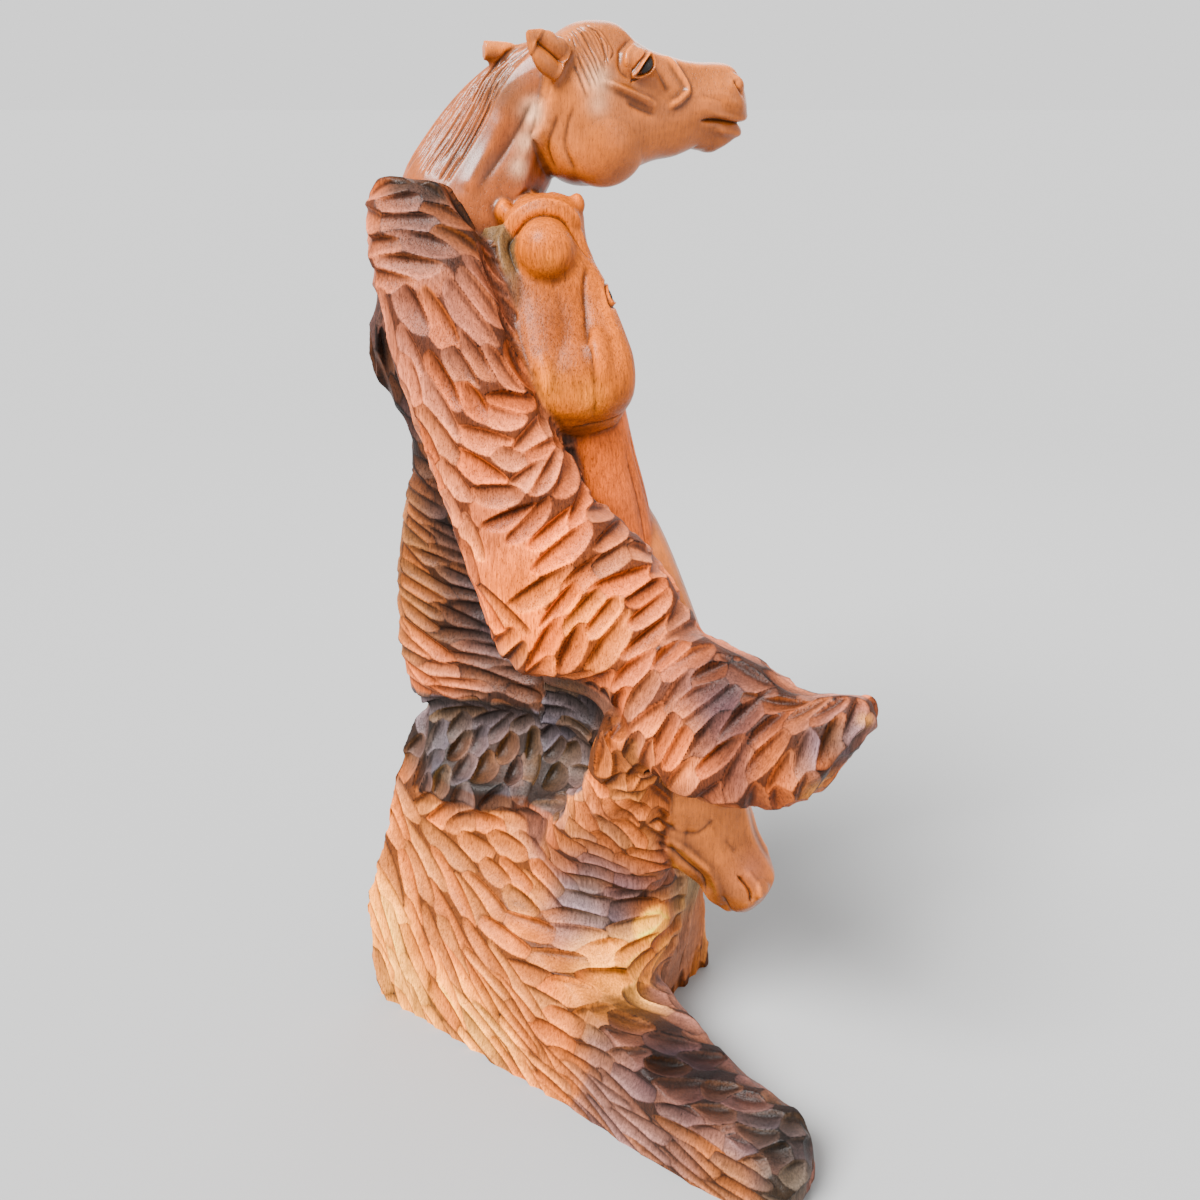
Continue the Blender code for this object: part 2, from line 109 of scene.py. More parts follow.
# The root block in slices: height at the middle, rise towards the back, and seven corners (left,
# ridge, front, right front, right back, back, left back)
ROOT_BLOCK = (
    (-0.03, 0.0, ((-0.374, 0.1), (-0.01, -0.21), (0.06, -0.16), (0.105, 0.08),
                   (0.192, 0.19), (0.06, 0.28), (-0.23, 0.255))),
    (0.08, 0.0, ((-0.384, 0.105), (-0.01, -0.195), (0.05, -0.14), (0.1, 0.02),
                  (0.186, 0.178), (0.05, 0.262), (-0.23, 0.245))),
    (0.17, 0.0, ((-0.386, 0.11), (-0.02, -0.17), (0.04, -0.125), (0.104, -0.015),
                  (0.174, 0.16), (0.04, 0.242), (-0.225, 0.232))),
    (0.215, 0.0, ((-0.376, 0.112), (-0.09, -0.1), (0.03, -0.11), (0.106, -0.03),
                  (0.178, 0.155), (0.034, 0.23), (-0.22, 0.225))),
    (0.26, 0.0, ((-0.362, 0.115), (-0.175, -0.015), (0.01, -0.095), (0.108, -0.042),
                  (0.184, 0.15), (0.03, 0.22), (-0.215, 0.22))),
    (0.32, 0.1, ((-0.345, 0.12), (-0.26, 0.06), (-0.01, -0.082), (0.108, -0.05),
                   (0.17, 0.125), (0.028, 0.205), (-0.205, 0.212))),
    (0.375, 0.4, ((-0.325, 0.13), (-0.235, 0.055), (-0.02, -0.065), (0.102, -0.055),
                   (0.14, 0.09), (0.025, 0.19), (-0.19, 0.205))),
    (0.43, 0.6, ((-0.285, 0.14), (-0.17, 0.05), (-0.02, -0.045), (0.094, -0.06),
                   (0.11, 0.06), (0.02, 0.17), (-0.17, 0.19))),
)
# The foot: sections across its run, from the ground over the ridge and the far edge to the ground
FOOT = (
    ((-0.2, -0.03, -0.03), (-0.16, -0.02, 0.235), (0.04, 0.06, 0.16), (0.09, 0.14, -0.03)),
    ((-0.1, -0.13, -0.03), (-0.082, -0.104, 0.208), (0.092, -0.02, 0.13), (0.12, 0.1, -0.03)),
    ((-0.01, -0.215, -0.03), (-0.015, -0.175, 0.178), (0.135, -0.11, 0.124), (0.165, 0.01, -0.03)),
    ((0.071, -0.289, -0.03), (0.084, -0.275, 0.122), (0.2, -0.22, 0.114), (0.232, -0.1, -0.03)),
    ((0.139, -0.34, -0.03), (0.155, -0.338, 0.11), (0.262, -0.29, 0.116), (0.296, -0.18, -0.03)),
    ((0.19, -0.375, -0.03), (0.205, -0.382, 0.092), (0.284, -0.345, 0.11), (0.312, -0.25, -0.03)),
    ((0.24, -0.41, -0.03), (0.248, -0.415, 0.062), (0.282, -0.385, 0.07), (0.302, -0.31, -0.03)),
)
# The hollow is two scoops: centre, radii, turn and tilt in degrees
HOLLOW = (
    ((-0.195, 0.012, 0.497), (0.225, 0.085, 0.06), -22, 48),
    ((-0.062, -0.086, 0.584), (0.084, 0.071, 0.084), 0, -10),
)
# How finely the rough shells are divided: between two stations, round a section, and on a ball
STEPS_BETWEEN = 4
SECTION_SIDES = 28
BALL_SIDES = 32
BALL_RINGS = 20
# How square a section is: 2 is an ellipse, and higher is nearer a box
SLAB_SQUARENESS = 2.8
# The shells are fused into one skin, with cells this wide, and it is smoothed this often
HEWN_VOXEL = 0.0055
HEWN_SMOOTHING = 4
# What each rough shell is, so that its surface can be worked and stained in its own way
TRUNK_ZONES = ("slab", "back", "heart", "root", "foot", "far_root", "lip")
HORSE_ZONES = ("neck_top", "neck_middle", "neck_lower", "web", "head_top", "head_middle", "head_lower")
ZONES = TRUNK_ZONES + HORSE_ZONES


def curve_at(a, b, c, d, t):
    """A point of the Catmull-Rom curve from b to c, at a share t of the way."""
    return 0.5 * (2 * b + (c - a) * t + (2 * a - 5 * b + 4 * c - d) * t ** 2
                  + (3 * b - a - 3 * c + d) * t ** 3)


def between_stations(stations):
    """A smooth run of rows through the given rows."""
    rows = np.array(stations, dtype=float)
    padded = np.vstack((2 * rows[0] - rows[1], rows, 2 * rows[-1] - rows[-2]))
    smooth = []
    for i in range(len(rows) - 1):
        smooth += [curve_at(*padded[i:i + 4], t) for t in np.arange(STEPS_BETWEEN) / STEPS_BETWEEN]
    smooth.append(rows[-1])
    return np.array(smooth)


def add_rings(bm, rings, zone):
    """Bridge a run of rings of points into one closed skin, and mark its faces with their zone."""
    hoops = []
    for points in rings:
        corners = bmesh.ops.create_circle(bm, segments=len(points), radius=1.0)["verts"]
        for corner, point in zip(corners, points):
            corner.co = point
        hoops.append(list(dict.fromkeys(edge for corner in corners for edge in corner.link_edges)))
    faces = []
    for lower, upper in zip(hoops, hoops[1:]):
        faces += bmesh.ops.bridge_loops(bm, edges=lower + upper)["faces"]
    for hoop in (hoops[0], hoops[-1]):
        faces += bmesh.ops.edgeloop_fill(bm, edges=hoop)["faces"]
    for face in faces:
        face.material_index = ZONES.index(zone)


def squared_circle(squareness):
    """Points round a circle squared towards a box."""
    turns = np.linspace(0, 2 * math.pi, SECTION_SIDES, endpoint=False)
    cosines = np.cos(turns)
    sines = np.sin(turns)
    return (np.sign(cosines) * np.abs(cosines) ** (2 / squareness),
            np.sign(sines) * np.abs(sines) ** (2 / squareness))


def add_board(bm, stations, zone, squareness=SLAB_SQUARENESS):
    """Sweep a rounded board through its stations."""
    rows = between_stations([(*left, *right, thick) for left, right, thick in stations])
    middles = (rows[:, 0:3] + rows[:, 3:6]) / 2
    along = np.gradient(middles, axis=0)
    across, through = squared_circle(squareness)
    rings = []
    for row, middle, step in zip(rows, middles, along):
        half = (row[3:6] - row[0:3]) / 2
        facing = np.cross(half, step)
        facing *= row[6] / 2 / np.linalg.norm(facing)
        rings.append([middle + half * a + facing * b for a, b in zip(across, through)])
    add_rings(bm, rings, zone)


def add_tube(bm, stations, zone):
    """Sweep a round tube through centre points with radii."""
    rows = between_stations([(*centre, radius) for centre, radius in stations])
    along = np.gradient(rows[:, 0:3], axis=0)
    across, through = squared_circle(2)
    rings = []
    for row, step in zip(rows, along):
        side = np.cross(step, (0, 1, 0))
        side /= np.linalg.norm(side)
        front = np.cross(side, step)
        front /= np.linalg.norm(front)
        rings.append([row[0:3] + row[3] * (side * a + front * b) for a, b in zip(across, through)])
    add_rings(bm, rings, zone)


def add_block(bm, sections, zone):
    """Skin a block whose sections all have the same corners."""
    count = len(sections[0])
    rows = between_stations([np.ravel(section) for section in sections])
    add_rings(bm, rows.reshape(len(rows), count, 3), zone)


def add_ball(bm, centre, radii, zone="root", turn=Matrix.Identity(3)):
    """An ellipsoid."""
    made = bmesh.ops.create_uvsphere(bm, u_segments=BALL_SIDES, v_segments=BALL_RINGS, radius=1.0)
    shape = Matrix.Translation(centre) @ turn.to_4x4() @ Matrix.Diagonal((*radii, 1.0))
    bmesh.ops.transform(bm, matrix=shape, verts=made["verts"])
    for face in dict.fromkeys(face for corner in made["verts"] for face in corner.link_faces):
        face.material_index = ZONES.index(zone)


def placed(name, bm):
    """An object made of a bmesh, its faces pointing out."""
    bmesh.ops.recalc_face_normals(bm, faces=bm.faces)
    mesh = bpy.data.meshes.new(name)
    bm.to_mesh(mesh)
    item = bpy.data.objects.new(name, mesh)
    bpy.context.scene.collection.objects.link(item)
    return item


def fused(item, voxel, smoothing, cutters=(), fill=0):
    """The object's shells fused into one even skin, as a new mesh; narrow gaps can be filled."""
    for swell in ((fill, -fill) if fill else (0,)):
        if swell:
            grow = item.modifiers.new("grow", "DISPLACE")
            grow.strength = swell
            grow.mid_level = 0
        skin = item.modifiers.new("one_skin", "REMESH")
        skin.mode = "VOXEL"
        skin.voxel_size = voxel
    for cutter in cutters:
        scoop = item.modifiers.new("scoop", "BOOLEAN")
        scoop.operation = "DIFFERENCE"
        scoop.object = cutter
    if cutters:
        even = item.modifiers.new("even", "REMESH")
        even.mode = "VOXEL"
        even.voxel_size = voxel
    soften = item.modifiers.new("soften", "SMOOTH")
    soften.iterations = smoothing
    graph = bpy.context.evaluated_depsgraph_get()
    mesh = bpy.data.meshes.new_from_object(item.evaluated_get(graph))
    for done in (item, *cutters):
        bpy.data.objects.remove(done, do_unlink=True)
    return mesh


timber = bmesh.new()
add_board(timber, FRONT_SLAB, "slab")
add_board(timber, BACK_SLAB, "back")
add_board(timber, HEARTWOOD, "heart")
add_board(timber, SHOULDER, "root")
add_tube(timber, HOLLOW_LIP, "lip")
for root in FAR_ROOTS:
    add_tube(timber, root, "far_root")
add_block(timber, [[(x, y, height + rise * y) for x, y in corners]
                   for height, rise, corners in ROOT_BLOCK], "root")
add_block(timber, FOOT, "foot")
scoop_turns = [Matrix.Rotation(math.radians(turn), 3, "Z") @ Matrix.Rotation(math.radians(tilt), 3, "X")
               for _, _, turn, tilt in HOLLOW]
scoops = []
for (centre, radii, _, _), turn in zip(HOLLOW, scoop_turns):
    scoop = bmesh.new()
    add_ball(scoop, centre, radii, turn=turn)
    scoops.append(placed("scoop", scoop))
    scoop.free()
hewn = fused(placed("hewn_trunk", timber), HEWN_VOXEL, HEWN_SMOOTHING, cutters=scoops)

# The three horses: heads and necks carved in the round out of the same trunk, one above the other.
# Each head is worked to the same plan, then turned to its own pose.

TOP_NECK = (
    ((-0.262, 0.06, 1.2), (-0.11, 0.06, 1.15), 0.13),
    ((-0.264, 0.07, 1.26), (-0.095, 0.07, 1.225), 0.13),
    ((-0.262, 0.08, 1.318), (-0.075, 0.08, 1.29), 0.12),
    ((-0.226, 0.09, 1.376), (-0.065, 0.085, 1.312), 0.108),
    ((-0.182, 0.09, 1.426), (-0.06, 0.085, 1.335), 0.096),
    ((-0.136, 0.085, 1.464), (-0.04, 0.08, 1.365), 0.088),
    ((-0.088, 0.08, 1.488), (-0.005, 0.08, 1.39), 0.08),
)
MIDDLE_NECK = (
    ((-0.08, 0.02, 1.11), (0.01, 0.06, 1.12), 0.13),
    ((-0.09, -0.008, 1.01), (0.026, 0.046, 1.03), 0.13),
    ((-0.078, -0.018, 0.95), (0.04, 0.046, 0.96), 0.13),
    ((-0.06, -0.026, 0.87), (0.056, 0.046, 0.89), 0.135),
    ((-0.03, -0.01, 0.79), (0.066, 0.04, 0.82), 0.135),
    ((-0.03, -0.01, 0.7), (0.072, 0.03, 0.73), 0.13),
)
# The middle horse looks up, so its throat and jaw are one broad sloping board
MIDDLE_JAW = (
    ((-0.112, -0.026, 1.225), (-0.036, -0.026, 1.225), 0.05),
    ((-0.12, -0.034, 1.175), (-0.028, -0.032, 1.175), 0.064),
    ((-0.12, -0.048, 1.125), (-0.014, -0.046, 1.125), 0.084),
    ((-0.112, -0.06, 1.08), (-0.002, -0.058, 1.08), 0.098),
    ((-0.098, -0.058, 1.048), (0.004, -0.056, 1.048), 0.09),
    ((-0.08, -0.046, 1.026), (0.0, -0.044, 1.026), 0.056),
)
WEB = (
    ((-0.15, -0.01, 1.262), (-0.08, 0.014, 1.262), 0.03),
    ((-0.145, -0.028, 1.225), (-0.078, -0.004, 1.225), 0.05),
    ((-0.128, -0.045, 1.17), (-0.07, -0.018, 1.17), 0.06),
    ((-0.108, -0.062, 1.11), (-0.058, -0.032, 1.11), 0.062),
    ((-0.085, -0.085, 1.03), (-0.03, -0.045, 1.03), 0.062),
)
LOWER_NECK = (
    ((-0.02, 0.03, 0.9), (0.02, 0.06, 0.95), 0.09),
    ((-0.01, 0.01, 0.76), (0.08, 0.03, 0.86), 0.11),
    ((0.02, -0.03, 0.66), (0.125, -0.01, 0.76), 0.115),
    ((0.05, -0.06, 0.57), (0.17, -0.05, 0.64), 0.1),
)
# A head about 0.27 long, muzzle along +X, poll up: reach, top, bottom, and the half widths of its
# bridge, sides and jaw
HEAD_SECTIONS = (
    (-0.085, 0.07, -0.04, 0.022, 0.034, 0.022),
    (-0.055, 0.095, -0.08, 0.03, 0.044, 0.036),
    (-0.03, 0.104, -0.092, 0.033, 0.048, 0.042),
    (0.0, 0.106, -0.09, 0.034, 0.049, 0.044),
    (0.025, 0.093, -0.08, 0.035, 0.048, 0.042),
    (0.05, 0.086, -0.064, 0.032, 0.045, 0.039),
    (0.078, 0.082, -0.05, 0.028, 0.042, 0.035),
    (0.105, 0.079, -0.042, 0.025, 0.039, 0.031),
    (0.13, 0.08, -0.032, 0.025, 0.038, 0.026),
    (0.15, 0.083, -0.028, 0.026, 0.039, 0.023),
    (0.17, 0.083, -0.025, 0.026, 0.041, 0.021),
    (0.185, 0.07, -0.016, 0.024, 0.037, 0.019),
    (0.197, 0.055, -0.004, 0.018, 0.026, 0.016),
    (0.205, 0.044, 0.012, 0.008, 0.013, 0.008),
)
# Round masses on one side of the head: centre and radii
CHEEK = ((-0.003, 0.028, -0.031), (0.061, 0.026, 0.059))
NOSTRIL_RIM = ((0.17, 0.026, 0.052), (0.016, 0.014, 0.018))
BROW_RADII = (0.024, 0.013, 0.02)
BROW_FROM_EYE = Vector((0, -0.008, 0.004))

# Each head's pose: where the middle of the cheeks is, muzzle and poll directions, and how much
# longer, wider and deeper it is than the plan. Then how much broader its jaw is, where its eye is, its
# own round masses, the places with the finest work, and its ears: root, tip, half width, half depth,
# and 1 for a tip cut square
HEADS = {
    "top": {
        "pose": ((0.0, 0.08, 1.4), (0.895, 0.417, -0.157), (0.15, 0.07, 1.0), (1.03, 1.0, 1.03)),
        "jaw": 1.0,
        "eye": (0.026, 0.047, 0.058),
        "masses": (((0.158, 0.0, -0.016), (0.021, 0.018, 0.013)),),
        "fine": (((0.17, 0.0, 0.02), 0.075), ((0.03, -0.045, 0.06), 0.036),
                 ((0.03, 0.045, 0.06), 0.032), ((-0.015, -0.03, 0.07), 0.052),
                 ((-0.1, -0.045, 0.055), 0.04)),
        "ears": (((-0.074, -0.038, 0.044), (-0.133, -0.05, 0.074), 0.027, 0.014, 0),
                 ((-0.08, 0.038, 0.057), (-0.148, 0.047, 0.05), 0.012, 0.01, 1)),
    },
    "middle": {
        "pose": ((-0.034, -0.01, 1.092), (-0.2, 0.0, 0.98), (0.0, 1.0, 0.0), (1.05, 1.2, 1.1)),
        "jaw": 1.3,
        "eye": (0.066, 0.045, 0.018),
        "masses": (((0.142, -0.004, -0.024), (0.04, 0.031, 0.031)),
                   ((0.17, -0.004, 0.008), (0.036, 0.042, 0.032)),
                   ((0.192, -0.042, 0.026), (0.014, 0.008, 0.01)),
                   ((0.184, 0.037, 0.026), (0.013, 0.008, 0.009))),
        "fine": (((0.16, 0.0, 0.0), 0.07), ((0.066, 0.045, 0.018), 0.032),
                 ((0.066, -0.045, 0.018), 0.03)),
        "ears": (((-0.074, -0.034, 0.07), (-0.14, -0.024, 0.072), 0.022, 0.012, 0),
                 ((-0.074, 0.034, 0.07), (-0.14, 0.024, 0.072), 0.022, 0.012, 0)),
    },
    "lower": {
        "pose": ((0.098, -0.08, 0.51), (0.36, -0.05, -0.93), (0.93, 0.1, 0.36), (1.18, 1.15, 1.1)),
        "jaw": 1.0,
        "eye": (0.022, 0.047, 0.056),
        "masses": (((0.158, 0.0, -0.012), (0.024, 0.02, 0.014)),),
        "fine": (((0.165, 0.0, 0.02), 0.07), ((0.03, -0.045, 0.058), 0.03),
                 ((0.03, 0.045, 0.058), 0.03)),
        "ears": (((-0.076, 0.034, 0.064), (-0.136, 0.044, 0.068), 0.02, 0.011, 0),),
    },
}
NECK_SQUARENESS = 2.2
# An ear is hollowed on the side that faces out, and a little forward and up
EAR_FACES = (0.15, 1.0, 0.1)
EAR_RINGS = 11
EAR_SIDES = 20
# The skin that is carved has finer cells, and the narrowest gaps in it are left full of wood
FINE_VOXEL = 0.0019
FINE_SMOOTHING = 5
NARROWEST_GAP = 0.004


def round_outline(corners):
    """A closed curve through the corners of an outline."""
    around = [np.roll(corners, shift, axis=0) for shift in (1, 0, -1, -2)]
    between = [curve_at(*around, t) for t in (0, 0.25, 0.5, 0.75)]
    return np.stack(between, axis=1).reshape(-1, 3)


def head_section(row, broader):
    """The closed outline of one slice through the head, across the muzzle's direction."""
    reach, top, bottom, bridge, side, jaw = row
    jaw *= broader
    depth = top - bottom
    half = ((0, top), (bridge * 0.75, top - depth * 0.03), (bridge, top - depth * 0.12),
            (side, top - depth * 0.42), (jaw * 1.15, bottom + depth * 0.22),
            (jaw * 0.75, bottom + depth * 0.05), (0, bottom))
    outline = list(half) + [(-y, z) for y, z in reversed(half[1:-1])]
    return round_outline(np.array([(reach, y, z) for y, z in outline]))


def on_side(place, side):
    """A place in the head's plan, on one side of the head."""
    return Vector((place[0], place[1] * side, place[2]))


def ear_frame(root, tip):
    """The ear's start, its run, and unit directions across it and out of it."""
    root = Vector(root)
    run = Vector(tip) - root
    side = math.copysign(1, root.y)
    across = run.cross(on_side(EAR_FACES, side)).normalized()
    outward = across.cross(run).normalized()
    return root, run, across, outward * side * math.copysign(1, outward.y)


def add_ear(bm, root, tip, half_width, half_depth, square, zone):
    """A leaf-shaped ear, or one cut off square."""
    root, run, across, outward = ear_frame(root, tip)
    rings = []
    for reach in np.linspace(0, 1, EAR_RINGS):
        # A leaf is widest a third of the way up, and all but closes at its tip
        swell = 1.0 if square else math.sin(math.pi * (0.3 + 0.68 * reach)) ** 0.8
        rings.append([root + run * reach + across * (half_width * swell * math.cos(turn))
                      + outward * (half_depth * swell * math.sin(turn))
                      for turn in np.linspace(0, 2 * math.pi, EAR_SIDES, endpoint=False)])
    add_rings(bm, rings, zone)


def head_pose(place, muzzle, poll, scale):
    """The matrix from a head's plan to its place in the sculpture."""
    forward = Vector(muzzle).normalized()
    sideways = Vector(poll).cross(forward).normalized()
    upward = forward.cross(sideways)
    turn = Matrix((forward, sideways, upward)).transposed().to_4x4()
    return Matrix.Translation(place) @ turn @ Matrix.Diagonal((*scale, 1.0))


def add_head(bm, name, plan):
    """One horse head, modelled along +X and then turned to its pose."""
    head = bmesh.new()
    zone = "head_" + name
    add_rings(head, [head_section(row, plan["jaw"]) for row in between_stations(HEAD_SECTIONS)], zone)
    eye = Vector(plan["eye"])
    for side in (-1, 1):
        for centre, radii in (CHEEK, NOSTRIL_RIM, (eye + BROW_FROM_EYE, BROW_RADII)):
            add_ball(head, on_side(centre, side), radii, zone)
    for centre, radii in plan["masses"]:
        add_ball(head, centre, radii, zone)
    for ear in plan["ears"]:
        add_ear(head, *ear, zone)
    bmesh.ops.transform(head, matrix=head_pose(*plan["pose"]), verts=head.verts)
    bmesh.ops.recalc_face_normals(head, faces=head.faces)
    posed = bpy.data.meshes.new("posed_head")
    head.to_mesh(posed)
    head.free()
    bm.from_mesh(posed)
    bpy.data.meshes.remove(posed)


horses = bmesh.new()
for board, zone in ((TOP_NECK, "neck_top"), (MIDDLE_NECK, "neck_middle"), (LOWER_NECK, "neck_lower"),
                    (WEB, "web"), (MIDDLE_JAW, "head_middle")):
    add_board(horses, board, zone, NECK_SQUARENESS)
for name, plan in HEADS.items():
    add_head(horses, name, plan)

# Every rough shell, to tell later which zone of the carving a point of the surface belongs to
rough = bpy.data.meshes.new("rough")
horses.to_mesh(rough)
timber.from_mesh(rough)
zone_tree = BVHTree.FromBMesh(timber)
timber.faces.ensure_lookup_table()
zone_of_face = np.array([face.material_index for face in timber.faces])
timber.free()
horses.from_mesh(hewn)
carving = fused(placed("carving", horses), FINE_VOXEL, FINE_SMOOTHING, fill=NARROWEST_GAP)
horses.free()

# The carved surface: one skin over the whole sculpture, finest where the heads are detailed. Its
# points are pushed in and out with the strokes that follow, as knives and gouges would work it.


def arrays_of(mesh):
    """The mesh's points, normals and edges as arrays."""
    points = np.empty(len(mesh.vertices) * 3)
    mesh.vertices.foreach_get("co", points)
    normals = np.empty(len(mesh.vertices) * 3)
    mesh.vertices.foreach_get("normal", normals)
    edges = np.empty(len(mesh.edges) * 2, dtype=np.int64)
    mesh.edges.foreach_get("vertices", edges)
    return points.reshape(-1, 3), normals.reshape(-1, 3), edges.reshape(-1, 2)


def refined(mesh, balls):
    """Halve the mesh's edges inside each ball, and give a search tree of its faces."""
    worked = bmesh.new()
    worked.from_mesh(mesh)
    worked.edges.ensure_lookup_table()
    middles, _, ends = arrays_of(mesh)
    middles = (middles[ends[:, 0]] + middles[ends[:, 1]]) / 2
    wanted = np.zeros(len(middles), dtype=bool)
    for centre, radius in balls:
        wanted |= np.linalg.norm(middles - centre, axis=1) < radius
    bmesh.ops.subdivide_edges(worked, edges=[worked.edges[i] for i in np.flatnonzero(wanted)],
                              cuts=1, use_grid_fill=True)
    worked.to_mesh(mesh)
    tree = BVHTree.FromBMesh(worked)
    worked.free()
    return tree


# The mane's finest places; the heads add theirs
fine_balls = [((-0.16, 0.05, 1.42), 0.06), ((-0.2, 0.04, 1.35), 0.05)]
for plan in HEADS.values():
    pose = head_pose(*plan["pose"])
    fine_balls += [(pose @ Vector(centre), radius) for centre, radius in plan["fine"]]
skin_tree = refined(carving, fine_balls)
points, normals, edges = arrays_of(carving)
point_zone = zone_of_face[[zone_tree.find_nearest(point)[2] for point in points]]
degree = np.bincount(edges.ravel(), minlength=len(points))


def spread(values, rounds):
    """Values evened out with their neighbours over the skin."""
    for _ in range(rounds):
        sums = (np.bincount(edges[:, 0], values[edges[:, 1]], len(points))
                + np.bincount(edges[:, 1], values[edges[:, 0]], len(points)))
        values = (values + sums / degree) / 2
    return values


def in_zones(*names):
    """Which points belong to these zones."""
    return np.isin(point_zone, [ZONES.index(name) for name in names])


def inside(places, centre, radii):
    """How deep inside an ellipsoid each place is: 1 at its centre, 0 at its skin and beyond."""
    return np.clip(1 - np.sum(((places - centre) / radii) ** 2, axis=1), 0, None)


def inner_corners(rounds):
    """How far the skin bends inwards at each point."""
    beside = np.stack([np.bincount(edges[:, 0], points[edges[:, 1], axis], len(points))
                       + np.bincount(edges[:, 1], points[edges[:, 0], axis], len(points))
                       for axis in range(3)], axis=1)
    return spread(np.sum((beside / degree[:, None] - points) * normals, axis=1), rounds)


# The shoulder's hewn wood runs over the back of the lower head
HEWN_OVER = ((0.04, -0.15, 0.54), (0.062, 0.06, 0.085))
# The hollow's own surface reaches a little past its scoops
HOLLOW_REACH = 1.1
# A bend inwards this strong is a corner that no tool gets into
CORNER_LIMIT = 0.00012
point_zone[inside(points, *HEWN_OVER) > 0] = ZONES.index("root")
in_hollow = np.zeros(len(points), dtype=bool)
for (centre, radii, _, _), turn in zip(HOLLOW, scoop_turns):
    in_hollow |= np.linalg.norm((points - centre) @ np.array(turn) / radii, axis=1) < HOLLOW_REACH
on_horses = in_zones(*HORSE_ZONES)
polished = spread((on_horses & ~in_hollow).astype(float), rounds=4)
open_skin = 1 - np.clip(inner_corners(rounds=6) / CORNER_LIMIT, 0, 1)

# Knife work on the horses: ridges, creases and swells drawn over the skin, on both sides of a head
# unless its side is given. A crease is V-shaped, a swell is round.

